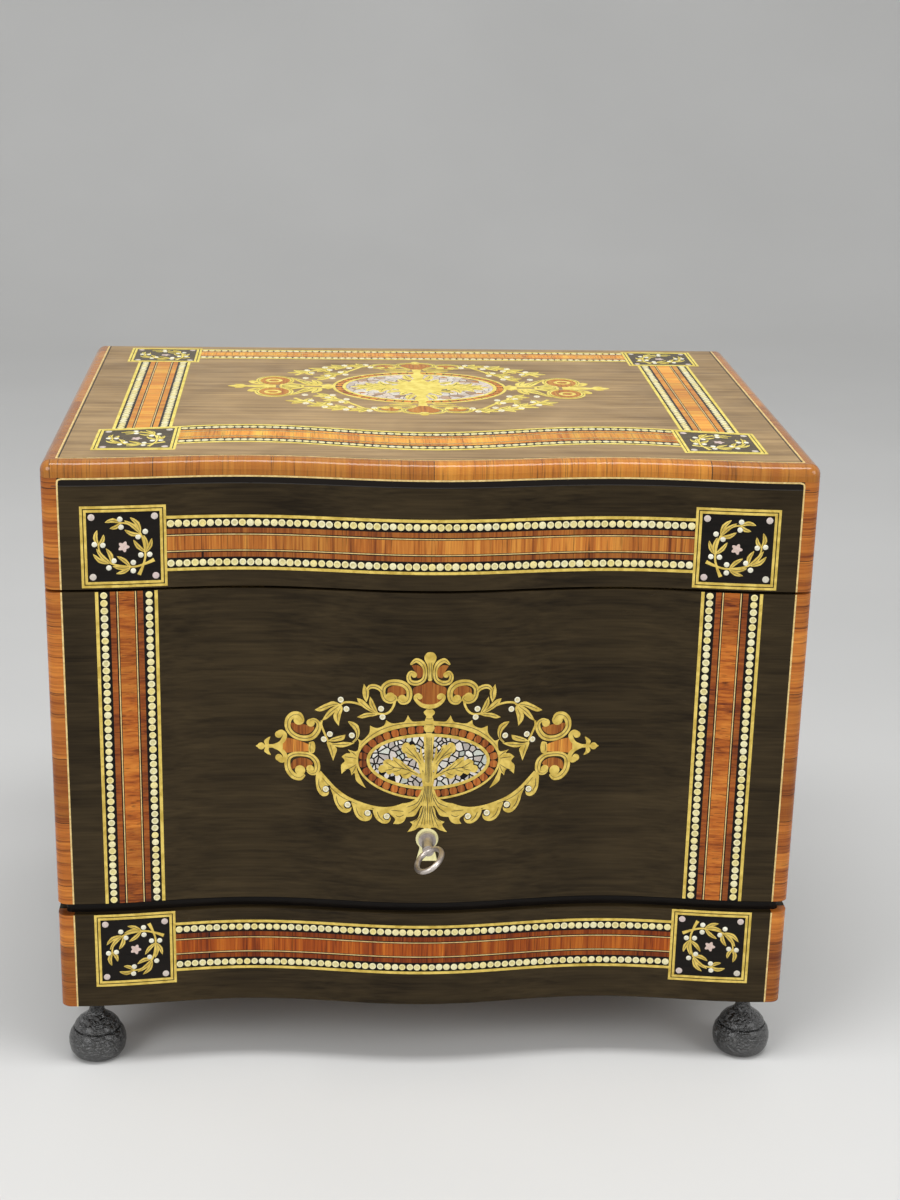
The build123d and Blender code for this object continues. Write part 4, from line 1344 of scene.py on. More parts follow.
@dataclass
class Medallion:
    """Cut-brass ornament, alike on both sides of its middle line and drawn on its right half."""

    name: str
    face: Face
    body: str
    finishes: Finishes
    wood_finish: Material
    brass_finish: Material
    flips: tuple[int, ...] = (1,)
    bead_crown: float = 0.05
    block_share: float = 0.88
    rounding: float = 0.62
    berry_white: Colour = (0.90, 0.87, 0.70)
    berry_eye: Colour = (0.78, 0.70, 0.42)
    wood_tint: Colour = (0.62, 0.56, 0.52)
    bright_wood_tint: Colour = (1.2, 1.35, 1.3)
    brass: FlatWork = field(init=False)
    wood: FlatWork = field(init=False)
    pearl: FlatWork = field(init=False)
    cuts: FlatWork = field(init=False)
    ground: FlatWork = field(init=False)

    def __post_init__(self) -> None:
        """Starts the layers."""
        self.ground = FlatWork(f"{self.name}_ground", self.face, Layer.FIELD)
        self.wood = FlatWork(f"{self.name}_rosewood", self.face, Layer.VENEER)
        self.pearl = FlatWork(f"{self.name}_pearl", self.face, Layer.CHIPS)
        self.brass = FlatWork(f"{self.name}_brass", self.face, Layer.CUT_BRASS)
        self.cuts = FlatWork(f"{self.name}_engraving", self.face, Layer.ENGRAVING)

    def copies(self, points: Outline) -> list[list[Point]]:
        """Copies points to each side and end, once where they lie on a middle line.

        Args:
            points: points of the right half.

        Returns:
            The points of each copy.
        """
        sides = SIDES if any(abs(u) > 0.01 for u, _ in points) else (1,)
        flips = self.flips if any(abs(v) > 0.01 for _, v in points) else (1,)
        return [[(u * side, v * flip) for u, v in points] for side in sides for flip in flips]

    def stroke(self, points: Outline, widths: Sequence[float], cut: bool = False,
               spans: int = 5) -> None:
        """Adds a strip of brass on every side.

        Args:
            points: points that it goes through.
            widths: its widths at equal steps.
            cut: whether it has an engraved line.
            spans: how many steps there are between two points.
        """
        for line in self.copies(curve(points, spans)):
            self.brass.ribbon(line, widths)
            if cut and len(line) > 4:
                self.cuts.ribbon(line[1:-1], (0.1, 0.24, 0.24, 0.08))

    def leaf(self, base: Point, tip: Point, width: float, bend: float = 0.0,
             cut: bool = True) -> None:
        """Adds a pointed leaf with an engraved rib on every side."""
        widths = (width * 0.35, width, width * 0.95, width * 0.6, 0.1)
        self.stroke(bent(base, tip, bend), widths, cut, 4)

    def bead(self, centre: Point, radius: float) -> None:
        """Adds a round of brass on every side, as the end of a scroll."""
        for (spot,) in self.copies([centre]):
            self.brass.disc(*spot, radius, sides=18, crown=self.bead_crown)

    def berry(self, centre: Point, radius: float = 1.2) -> None:
        """Adds a pearl berry on every side."""
        for (spot,) in self.copies([centre]):
            self.pearl.disc(*spot, radius, self.berry_white, self.berry_eye, 14)

    def piece(self, points: Outline, tint: Colour | None = None) -> None:
        """Adds a rosewood piece with this outline on every side."""
        for shape in self.copies(closed(points)):
            self.wood.outline(shape, tint or self.wood_tint)

    def cutout(self, points: Outline) -> None:
        """Adds a flat brass piece with this outline on every side."""
        for shape in self.copies(closed(points)):
            self.brass.outline(shape)

    def halved(self, points: Outline) -> None:
        """Adds a brass piece across the middle line, from the outline of its right half."""
        right = curve(points, 3)
        self.brass.outline([*right, *((-u, v) for u, v in reversed(right) if u > 0.01)])

    def engrave(self, points: Outline, width: float = 0.26) -> None:
        """Adds a dark engraved line on every side."""
        for line in self.copies(curve(points, 4)):
            self.cuts.ribbon(line, (0.1, width, width, 0.08))

    def ring(self, centre: Point, radii: Point, width: float, start: float = -90.0) -> None:
        """Adds a brass ring on every side, from an angle to its top."""
        self.stroke(arc(centre, radii, start, 90.0, 24), (width, width), False, 2)

    def bed(self, centre: Point, radii: Point) -> None:
        """Adds the black bed of an oval."""
        upper, lower = arc(centre, radii, 180.0, 0.0, 30), arc(centre, radii, 180.0, 360.0, 30)
        self.ground.between(upper[1:-1], lower[1:-1])

    def block(self, place: Point, along: Point, half: float, depth: float) -> list[Point]:
        """Outline of a rounded block.

        Args:
            place: its middle.
            along: the direction of its row, of length 1.
            half: half its length along the row.
            depth: its depth across the row.

        Returns:
            The outline.
        """
        outline = []
        for number in range(12):
            turn = 2 * math.pi * (number + 0.5) / 12
            a = half * math.copysign(abs(math.cos(turn)) ** self.rounding, math.cos(turn))
            b = depth / 2 * math.copysign(abs(math.sin(turn)) ** self.rounding, math.sin(turn))
            u = place[0] + along[0] * a + along[1] * b
            outline.append((u, place[1] + along[1] * a - along[0] * b))
        return outline

    def blocks(self, centre: Point, radii: Point, ends: Point, size: float, depth: float) -> None:
        """Adds rounded rosewood blocks in a row round an ellipse on every side.

        Args:
            centre: the ellipse's middle.
            radii: its radii.
            ends: the angles that the row runs between, in degrees.
            size: the room that a block takes along the row.
            depth: its depth across the row.
        """
        fine = arc(centre, radii, *ends, 400)
        lengths = [0.0]
        for a, b in zip(fine, fine[1:]):
            lengths.append(lengths[-1] + math.dist(a, b))
        count = max(2, round(lengths[-1] / size))
        half = lengths[-1] / count / 2 * self.block_share
        chance = random.Random(self.name)
        for i in range(count):
            target = lengths[-1] * (i + 0.5) / count
            k = min(range(400), key=lambda n: abs(lengths[n] - target))
            place, after = fine[k], fine[k + 1]
            length = math.dist(place, after)
            along = ((after[0] - place[0]) / length, (after[1] - place[1]) / length)
            for shape in self.copies(self.block(place, along, half, depth)):
                shade = chance.uniform(0.55, 0.95)
                self.wood.outline(shape, (shade, shade * 0.85, shade * 0.9))

    def chips(self, outline: Outline, count: int, gap: float, tints: Sequence[Colour]) -> None:
        """Fills half of the field with broken pearl chips, on both sides.

        Args:
            outline: outline of the right half, convex.
            count: number of chips in it.
            gap: width of the dark joints.
            tints: colours to choose from.
        """
        chance = random.Random(self.name)
        us, vs = [u for u, _ in outline], [v for _, v in outline]
        apart = math.sqrt((max(us) - min(us)) * (max(vs) - min(vs)) / count) * 0.36
        for side in SIDES:
            seeds: list[Point] = []
            for _ in range(count * 40):
                seed = (chance.uniform(min(us), max(us)), chance.uniform(min(vs), max(vs)))
                if len(seeds) < count and all(math.dist(seed, other) > apart for other in seeds):
                    seeds.append(seed)
            for seed in seeds:
                cell = list(outline)
                for other in seeds:
                    if other is not seed and len(cell) > 2:
                        cell = clipped(cell, seed, other, gap)
                if len(cell) > 2 and chance.random() > gap * 0.06:
                    shade = chance.uniform(0.72, 1.08)
                    tint = tuple(min(1.0, value * shade) for value in chance.choice(tints))
                    self.pearl.outline([(u * side, v) for u, v in cell], tint)

    def finish(self) -> None:
        """Turns the layers into pieces."""
        self.ground.finish(self.finishes.ground, self.body)
        self.wood.finish(self.wood_finish, self.body)
        self.pearl.finish(self.finishes.pearl, self.body)
        self.brass.finish(self.brass_finish, self.body)
        self.cuts.finish(self.finishes.mastic, self.body)


# Colours of the pearl chips of the front ornament and of the lid's.
CHIP_TINTS = ((0.70, 0.64, 0.60), (0.80, 0.75, 0.70), (0.86, 0.84, 0.78), (0.62, 0.56, 0.52),
              (0.66, 0.70, 0.64))
LID_CHIP_TINTS = ((0.86, 0.74, 0.64), (0.94, 0.88, 0.76), (0.55, 0.34, 0.20), (0.82, 0.68, 0.56),
                  (0.90, 0.80, 0.70))


@dataclass
class FrontMedallion(Medallion):
    """The front panel's ornament, with its origin above the keyhole."""

    def crest(self) -> None:
        """Adds the crown: teardrop, scrolls, shield and collar."""
        self.halved(((0, 49.7), (1.5, 49.3), (2.6, 47.6), (2.3, 45.8), (1.4, 44), (1, 41.4),
                     (0.9, 37.2), (0, 36.8)))
        self.engrave(((0.55, 45), (0.45, 41), (0.7, 37.6)), 0.2)
        self.piece(((8, 43.5), (5.6, 43.8), (3.7, 42.6), (3, 40.6), (3.6, 38.5), (5.4, 38),
                    (5.9, 39.5), (6.9, 41.5)))
        lobe = ((8.5, 44), (6.1, 45.9), (3.4, 44.4), (2.2, 41.3), (2.7, 37.5), (5.4, 35.7),
                (8.4, 36.2), (9.3, 38.5))
        self.stroke((*lobe, (8.4, 40.4), (6.8, 40.1)),
                    (0.7, 2.1, 2.3, 1.7, 1.9, 2.2, 2.1, 1.9, 1.6, 1.4), True)
        self.bead((6.9, 39.4), 1.25)
        self.piece(((0, 37), (2.6, 35.2), (6.7, 33.8), (7.2, 31.8), (6.6, 29.6), (5.4, 27.2),
                    (3, 26.2), (0, 25.8)))
        collar = ((0, 25), (3.1, 25.6), (5.5, 27.5), (6.3, 29.4), (5, 30.4), (3.9, 29.7))
        self.stroke(collar, (2, 1.8, 1.5, 1.4, 1.5, 1.6))
        self.bead((4.3, 29.5), 1.2)
        self.piece(((18.4, 31), (18, 32.9), (15.9, 34.2), (13.2, 34.3), (11.2, 33), (10.4, 31),
                    (12.9, 29.6), (15.9, 29.6)))
        line = ((15.5, 29.7), (14.8, 28.3), (16.8, 27.1), (19.2, 28.1), (20.3, 30.8), (19.9, 33.6),
                (17.5, 35.5))
        line += ((14.3, 35.8), (11.3, 35), (9.2, 32.8), (8.8, 29.9), (9.8, 27.4), (12.1, 26.8),
                 (13.6, 28.3))
        self.stroke(line, (1.4, 1.8, 2, 2.2, 2.2, 2.3, 2.5, 2.7, 2.7, 2.6, 2.5, 2.2, 1.8, 1.4),
                    True)
        self.bead((17, 29.1), 2.1)
        self.bead((11.9, 28.5), 1.8)
        self.stroke(((20.2, 31.1), (21.9, 32.9), (24.1, 33.7), (26, 33.3), (27.1, 31.7)),
                    (1.6, 2, 2, 1.8, 0.9), True)
        tip, foot = (28.5, 34.6), (27.4, 26.3)
        self.cutout((tip, tip, (27.4, 33), (26.3, 31.5), (26.5, 28.7), foot, foot, (28.8, 28.8),
                     (29.1, 31.7)))
        self.engrave(((27.8, 33), (27.4, 30.4), (27.5, 28)))

    def blade(self, left: Outline, tip: Point, right: Outline, rib: Outline) -> None:
        """Adds a leaf between its two edges, pointed at its tip, with an engraved rib."""
        self.cutout((*left, tip, tip, *right))
        self.engrave(rib, 0.2)

    def foliage(self) -> None:
        """Adds the sprays that run down from the crown to the side."""
        self.stroke(((15.1, 27.2), (15.7, 24.9), (17.2, 22.5), (19.4, 21.3), (22.5, 21.4)),
                    (1.1, 1, 1, 0.9, 0.9))
        self.blade(((22.4, 21.4), (24.9, 23.5), (26.2, 25.8)), (25.8, 29),
                   ((24.4, 26.9), (23.2, 24.1)), ((22.9, 22), (24.6, 24.8), (25.4, 27.4)))
        self.blade(((22.4, 21.2), (25.5, 22.1), (28.8, 24), (30.7, 25.9)), (31.5, 28),
                   ((29.1, 27.4), (26.7, 25.2), (25, 23.2)), ((23.4, 21.7), (27, 23.8), (30, 26.4)))
        self.blade(((22.2, 21.1), (25.5, 21.6), (28.2, 21.2)), (31.4, 19.4),
                   ((29.2, 18.9), (26.5, 19.7), (24.1, 20.2)),
                   ((23.6, 20.9), (26.8, 20.6), (29.6, 19.8)))
        self.stroke(((23.2, 21.6), (26.4, 23.8), (29.1, 24.8), (31.5, 25.6), (34.2, 26),
                     (37.1, 25.7), (38.6, 24.4)), (0.9,) * 3)
        self.blade(((38.4, 24.7), (41.7, 26), (44.4, 25), (47, 23.6)), (49.8, 21.7),
                   ((47.6, 21.1), (44.9, 22.1), (42.2, 23.7), (39.4, 24.2)),
                   ((39.8, 24.9), (43.6, 24), (47.6, 22.2)))
        self.blade(((38.4, 24.4), (40.6, 24.1), (43.3, 22.2), (44.9, 20.1)), (46.7, 16.9),
                   ((44.8, 17.7), (42.7, 19.5), (40.8, 21.5), (38.5, 23.5)),
                   ((39.4, 23.9), (42.6, 21.2), (45, 18.6)))
        self.blade(((38.4, 24.2), (40.3, 22.2), (41.6, 19.9), (41.2, 17.4)), (39.3, 14.9),
                   ((38.9, 17.5), (38.3, 20.3), (37.6, 22.9)),
                   ((38.6, 22.8), (39.9, 20), (39.7, 17.2)))
        self.stroke(((46.7, 17), (46.9, 15), (45.9, 12.2), (44.8, 9.6), (43.9, 7.4)), (0.9, 0.9))
        self.blade(((43.8, 7.6), (42.4, 9), (39.4, 10.2)), (36.4, 11), ((37, 8.9), (39.7, 7.8)),
                   ((42.6, 8.2), (39.8, 9.1), (37.8, 10)))
        self.blade(((43.8, 7.2), (41, 6.8), (37.2, 7.6)), (32.4, 7.4),
                   ((34.5, 6.2), (37.7, 5.1), (40.7, 5.4)), ((42.2, 6.4), (38.4, 6.3), (34.6, 6.9)))
        self.blade(((44.4, 7.2), (44.2, 5.6), (43.3, 3.1)), (41.7, -1.3),
                   ((40.5, 2.2), (40.1, 4.3), (42.2, 6.6)), ((43, 6), (42.2, 3.2), (41.7, 0.6)))
        self.stroke(((33.1, 7.7), (31.5, 9.5), (31, 12.1), (31.9, 14.7), (33.5, 16.1),
                     (35.2, 17.1)), (0.8, 0.8, 1.7, 2.7, 2.1, 0.2), True)
        spots = ((21, 23.6), (20.3, 19.9), (38.5, 26.9), (36, 22.8), (43.2, 10.9), (45.8, 8.4),
                 (33.6, 10.8))
        for spot in spots:
            self.berry(spot, 1.3)

    def side(self) -> None:
        """Adds the side cluster: two scrolls, the orange lozenge and the finial."""
        self.piece(((60.4, 15.3), (59.4, 12.4), (56.7, 10.5), (53.2, 10.3), (50.7, 12.1),
                    (50.1, 13.9), (53.4, 14.6), (57.6, 15.4)))
        line = ((54.9, 16.8), (56.4, 19), (59.1, 19), (61.2, 16.9), (61.6, 13.4), (60, 10.6),
                (57, 8.8))
        line += ((53.2, 8.5), (50.3, 9.8), (48.3, 12.9), (48.2, 15.6), (50.1, 17.2), (52.1, 16.6))
        self.stroke(line, (1.2, 2.5, 3, 2.8, 2.5, 2.4, 2.4, 2.5, 2.7, 2.5, 1.9, 1.4, 1.3), True)
        self.bead((56.7, 16.9), 2.4)
        self.bead((51.6, 15.7), 1.8)
        self.piece(((60.2, -6.6), (60.1, -3.8), (58.9, -1.7), (55.7, -0.6), (52.5, -1.2),
                    (50.6, -3.2), (53.4, -5.2), (57.6, -5.2)))
        line = ((54.3, -8.3), (56.2, -9.9), (58.9, -9.3), (61.1, -6.8), (61.8, -3.8), (61.3, -0.9),
                (58.9, 0.8), (55.1, 1.1))
        line += ((51.6, 0.5), (49.2, -1.8), (48.6, -4.6), (49.2, -7), (51.3, -7.7), (53, -6.5))
        self.stroke(line, (1.2, 2.6, 2.9, 2.7, 2.6, 2.3, 2.1, 2.1, 2.2, 2.5, 2.5, 2.2, 1.6, 1.2),
                    True)
        self.bead((56.2, -6.5), 2.3)
        self.bead((51.8, -5.6), 1.7)
        self.piece(((64.4, 4.3), (62.5, 8.5), (62.5, 8.5), (58.6, 7.8), (54.8, 6.6), (52.4, 5.7),
                    (52.4, 5.7), (52.6, 2.4), (52.6, 2.4), (57.4, 2), (62.3, 1.4), (62.3, 1.4)),
                   self.bright_wood_tint)
        self.cutout(((52.3, 6.6), (50.2, 7.1), (49.5, 4.5), (50.2, 1.9), (52.3, 1.8), (52.5, 4.2)))
        self.engrave(((51.6, 6.2), (51.9, 4.2), (51.6, 2.2)), 0.2)
        self.stroke(((63.8, 4.3), (68.2, 4.4), (71.2, 4.3), (73.8, 4.3)), (2.2, 1.6, 1.4, 1))
        self.bead((73.3, 4.3), 1.6)
        self.leaf((72.8, 4.3), (75.6, 4.3), 1.6, 0, False)
        self.stroke(((70.2, 4.4), (70.9, 6.4), (69.3, 8.6)), (1, 2.2, 0.2))
        self.stroke(((70.2, 4.2), (70.9, 2.2), (69.1, 0.2)), (1, 2.2, 0.2))
        self.stroke(((67.9, 4.6), (65, 5.7), (63.4, 7.7), (62.9, 9.7), (64.2, 11.1), (65.8, 10.8)),
                    (1.2, 1.7, 2, 2, 1.8, 1.4))
        self.stroke(((67.9, 4.1), (64.9, 2.8), (63.2, 1), (62.8, -0.7), (64, -2.4), (65.6, -2)),
                    (1.2, 1.7, 2, 2, 1.8, 1.4))
        self.bead((65.6, 9.8), 1.6)
        self.bead((65.5, -0.9), 1.6)

    def garland(self) -> None:
        """Adds the hanging garland with its hooked leaves, and the acanthus at the foot."""
        line = ((47.6, -6.8), (43.7, -11.3), (40.4, -14.7), (35.1, -18.4), (27.4, -21.3),
                (20.5, -22.5), (15.1, -22), (10.6, -20.4))
        self.stroke(line, (1.3, 1.3))
        self.engrave(((46.6, -9.4), (42.4, -14.2), (37.6, -18.2), (31, -21)), 0.2)
        a, b = (43.5, -15.6), (43.7, -13.1)
        self.cutout(((47.7, -7), (49.2, -8.4), (49.3, -11.5), (48.9, -14.7), (47.6, -17.2),
                     (45.8, -18.2), (43.9, -17.4), a, a, (44.2, -16.4), (45.8, -16.3),
                     (46.4, -15.2), (45.6, -13.3), b, b, (42.4, -12.2), (43.7, -10.8),
                     (45.9, -8.4)))
        a, b, c = (33.6, -22.3), (34.5, -19.8), (32.6, -20)
        self.cutout(((42.9, -13.4), (41.8, -17.1), (41.2, -19.9), (39.8, -23), (37.9, -25),
                     (35.7, -25.4), (33.8, -24.1), a, a, (34.4, -23.3), (36.3, -23.3), (37, -21.8),
                     (36.1, -20.2), b, b, c, c, (35, -18.5), (38.8, -16)))
        a, b, c = (24.7, -25), (25.5, -23.3), (23.1, -23.4)
        self.cutout(((33.6, -20), (32.8, -23.2), (31.9, -26), (30.3, -28), (28.1, -28.9),
                     (25.7, -28.4), (24.5, -26.7), a, a, (25.2, -26.3), (26.9, -26.6), (28, -25.5),
                     (27.4, -23.9), b, b, c, c, (27.4, -21.7), (31.2, -20.1)))
        a, b, c = (16.3, -26.2), (17.4, -24.5), (16.1, -24.6)
        self.cutout(((24.1, -23.4), (23.3, -26.4), (21.9, -28.3), (19.7, -29.6), (17.6, -29.4),
                     (16.3, -27.9), a, a, (17.1, -27.7), (18.7, -27.8), (19.7, -26.6), (19, -25.2),
                     b, b, c, c, (17.7, -22.6), (22, -22.4)))
        for root, middle, end in (((47.9, -9.9), (47.9, -13.2), (46.5, -16)),
                                  ((40.4, -17.6), (39.4, -21.2), (37.4, -23.6)),
                                  ((31.6, -22.6), (30.4, -25.8), (28.2, -27.6)),
                                  ((22.2, -24.2), (21.2, -26.6), (19.4, -28.4))):
            self.engrave((root, middle, end))
        for spot in ((44.9, -14.8), (35.3, -21.6), (26.4, -25), (18, -26.2)):
            self.berry(spot, 1.35)
        a, b, c = (15.1, -29.6), (9.3, -26), (10.7, -20.6)
        self.cutout(((18.8, -22.3), (16.4, -25.2), (14.2, -27.3), a, a, (12.5, -29.6),
                     (10.4, -28.4), b, b, (10.1, -23.2), c, c, (14, -22)))
        self.engrave(((10.6, -23.6), (13, -23.4), (16, -23.2)), 0.2)
        self.engrave(((10.4, -25.2), (12.4, -26.2), (14, -25.6)), 0.2)
        a, b = (10.7, -19.8), (9.3, -26.2)
        self.cutout(((2.6, -13.2), (3.9, -16.1), (6, -18.2), (8.4, -19.4), a, a, (10.3, -22.6), b,
                     b, (5.8, -25.7), (4.2, -23.1), (2.4, -19.6), (1.4, -15.6)))
        self.engrave(((2.6, -15.6), (4.8, -19.6), (9.2, -21.6)))
        self.engrave(((2.4, -17), (4.6, -21.4), (8.4, -24.4)))
        a, b = (7.7, -28.6), (8.8, -33.4)
        self.cutout(((0.4, -20.6), (3, -22.1), (3.7, -25.2), (4.8, -27.3), a, a, (6.6, -30), b, b,
                     (5.8, -32.5), (3.6, -31.1), (0.4, -30.4)))
        for end in ((1.2, -30), (2.9, -30.6), (5.2, -31.4), (6.2, -28.6)):
            self.engrave(((0.6 + end[0] * 0.2, -21), (0.5 + end[0] * 0.45, -26), end), 0.22)

    def crown_of_oval(self) -> None:
        """Adds the scalloped brass over the oval's ring, and the leaf cluster at its side."""
        cusps = ((9.3, 21), (18.8, 18.6), (25.7, 15.7), (31.5, 9.7))
        hollows = ((4.2, 18.3), (12.4, 17.6), (16.2, 17.1), (19.5, 16.2), (22.7, 14.7),
                   (25.9, 12.6), (27.5, 10.2), (30.4, 7.8))
        top = ((0, 18.6), hollows[0], (7.4, 18.3), cusps[0], cusps[0], (10.6, 18.2), *hollows[1:3],
               cusps[1], cusps[1], hollows[3], hollows[4], cusps[2], cusps[2], *hollows[5:7],
               (29.3, 8.6), cusps[3], cusps[3], hollows[7])
        self.cutout((*top, (30.9, 4), (30.9, 4), (27.4, 8.3), (21.4, 12.8), (12.6, 16), (0, 17.1),
                     (0, 17.1)))
        self.engrave(((4, 17.6), (13, 16.8), (21, 14), (27, 9.6), (29.8, 6.2)), 0.2)
        tips = ((35.3, 4.2), (38, 0.8), (38, -7.2), (33.6, -7.7), (27.3, -13.3))
        self.cutout(((29.9, 5.4), (31.7, 3.5), tips[0], tips[0], (34.1, 2.6), (36, 2.4), tips[1],
                     tips[1], (36.6, -1.2), (38.2, -3.2), tips[2], tips[2], (35.8, -5.2),
                     (34.3, -5.1), tips[3], tips[3], (32.3, -6.5), (31.7, -9.7), (30, -11.6),
                     tips[4], tips[4], (29.8, -8.6), (31.2, -4.8), (31.5, -0.2), (31, 3.3)))
        for end in ((34.2, 3.4), (36.6, 0.8), (36.8, -5.4), (33.4, -6.6)):
            self.engrave(((31.6, end[1] * 0.45), ((31.6 + end[0]) / 2, end[1] * 0.8), end), 0.22)

    def oval(self) -> None:
        """Adds the oval: rings, rosewood beads and pearl chips."""
        centre = (0, -0.3)
        self.bed(centre, (31.6, 17.6))
        self.ring(centre, (31.3, 17.3), 1)
        self.blocks(centre, (28.9, 14.9), (-86, 86), 3.7, 3.4)
        self.ring(centre, (26.4, 12.3), 1.4)
        self.chips(arc(centre, (25.7, 11.6), -90, 90, 26), 84, 0.65, CHIP_TINTS)

    def trunk(self) -> None:
        """Adds the trunk down the middle, and the oak leaves that spring from it."""
        knob = ((0, 24.6), (1, 24), (2.4, 22.7), (2.1, 21.6), (1.3, 20.6), (1.9, 18.9), (1.7, 17.4),
                (2.4, 15.5))
        self.halved((*knob, (1.9, 14), (1.2, 12.9), (2.3, 11.4), (2.2, 9), (1.9, 6.2), (1.8, 3.3),
                     (0, 3)))
        self.halved(((0, 4), (1.8, 3.6), (1.7, 0.5), (1.8, -2.4), (2.2, -5.2), (2.7, -7.6),
                     (2.6, -9.6), (2.1, -11), (0, -11.2)))
        self.stroke(((2, -8.6), (3.2, -4.6), (4.2, -0.6), (5.8, 3)), (1, 1.2, 1.1, 0.8))
        self.stroke(((1.4, -5), (2.3, -1), (3.2, 3), (3.5, 6.6)), (0.8, 1.1, 1.1, 0.3))
        self.halved(((0, -10.6), (2.3, -10.8), (2.4, -13.8), (3.4, -16.4), (4.4, -18.4),
                     (3.4, -20.6), (2.2, -21.8), (2, -31), (0, -31.2)))
        for v in (24, 19.6, 16.9, 13.4):
            self.cuts.ribbon([(-1.5, v), (0, v - 0.15), (1.5, v)], (0.1, 0.22, 0.1))
        for u in (0.5, 1.1):
            self.engrave(((u, 11), (u, 4), (u, -2), (u * 1.2, -6.4), (u * 1.2, -9.8)), 0.2)
        for u in (0.7, 1.7, 2.6):
            self.engrave(((u * 0.55, -11.6), (u * 0.7, -15), (u * 1.1, -19.2)), 0.24)
        self.cuts.ribbon([(0, 11), (0, 0), (0, -10)], (0.1, 0.26, 0.26))
        self.cuts.ribbon([(0, -11.6), (0, -20), (0, -29.5)], (0.2, 0.26, 0.1))
        a, b, c, d = (9.8, 3.2), (8.1, 7.3), (5.3, 4.5), (11.9, 6.2)
        self.cutout(((2.2, -4.6), (4.9, -0.6), (7.1, 1.2), (9, 1.6), a, a, (11.4, 4.2), d,
                     (10.9, 8), (9.1, 8.5), b, b, (6.7, 7.6), (5.6, 6.4), c, c, (4, 3.4),
                     (2.2, -1.4)))
        self.engrave(((3.4, -1.2), (6.2, 2.4), (9.8, 6.4)))
        self.engrave(((3.2, 0.4), (4.6, 3), (6.4, 6)), 0.2)
        self.engrave(((5.2, 1.2), (7.4, 2.6), (10.2, 4.2)), 0.2)
        marks = ((15.7, 1.8), (15.5, -0.1), (19.6, -2.1), (18.6, -5.2), (15.5, -5.7), (12.2, -6.2),
                 (7.1, -6.2))
        self.cutout(((1.8, -7), (4.6, -5.6), (7.4, -3.4), (10.3, -1.4), (12.7, 0.6), marks[0],
                     marks[0], marks[1], marks[1], (17.8, 0.7), (19.8, -0.6), marks[2], marks[2],
                     (21.4, -2.7), (21.9, -4.5), (20.5, -5.8), marks[3], marks[3], (17.5, -6.6),
                     marks[4], marks[4], (13.9, -7.2), marks[5], marks[5], (10.6, -8.3),
                     (8.2, -7.7), marks[6], marks[6], (4.7, -7.2), (1.8, -8.6)))
        self.engrave(((4.6, -6.2), (10, -3.8), (17.6, -3)))
        for root, end in (((7.2, -5), (11.8, -0.8)), ((10.4, -3.8), (15, 0.2)),
                          ((14, -3.4), (18.4, -1)), ((8, -5.2), (11, -6.6)), ((12, -4), (15.4, -5)),
                          ((15, -3.4), (18.8, -4.6))):
            self.engrave((root, ((root[0] + end[0]) / 2, (root[1] + end[1]) / 2 - 0.2), end), 0.2)

    def make(self) -> None:
        """Builds the medallion."""
        self.oval()
        self.crown_of_oval()
        self.trunk()
        self.crest()
        self.foliage()
        self.side()
        self.garland()
        self.finish()


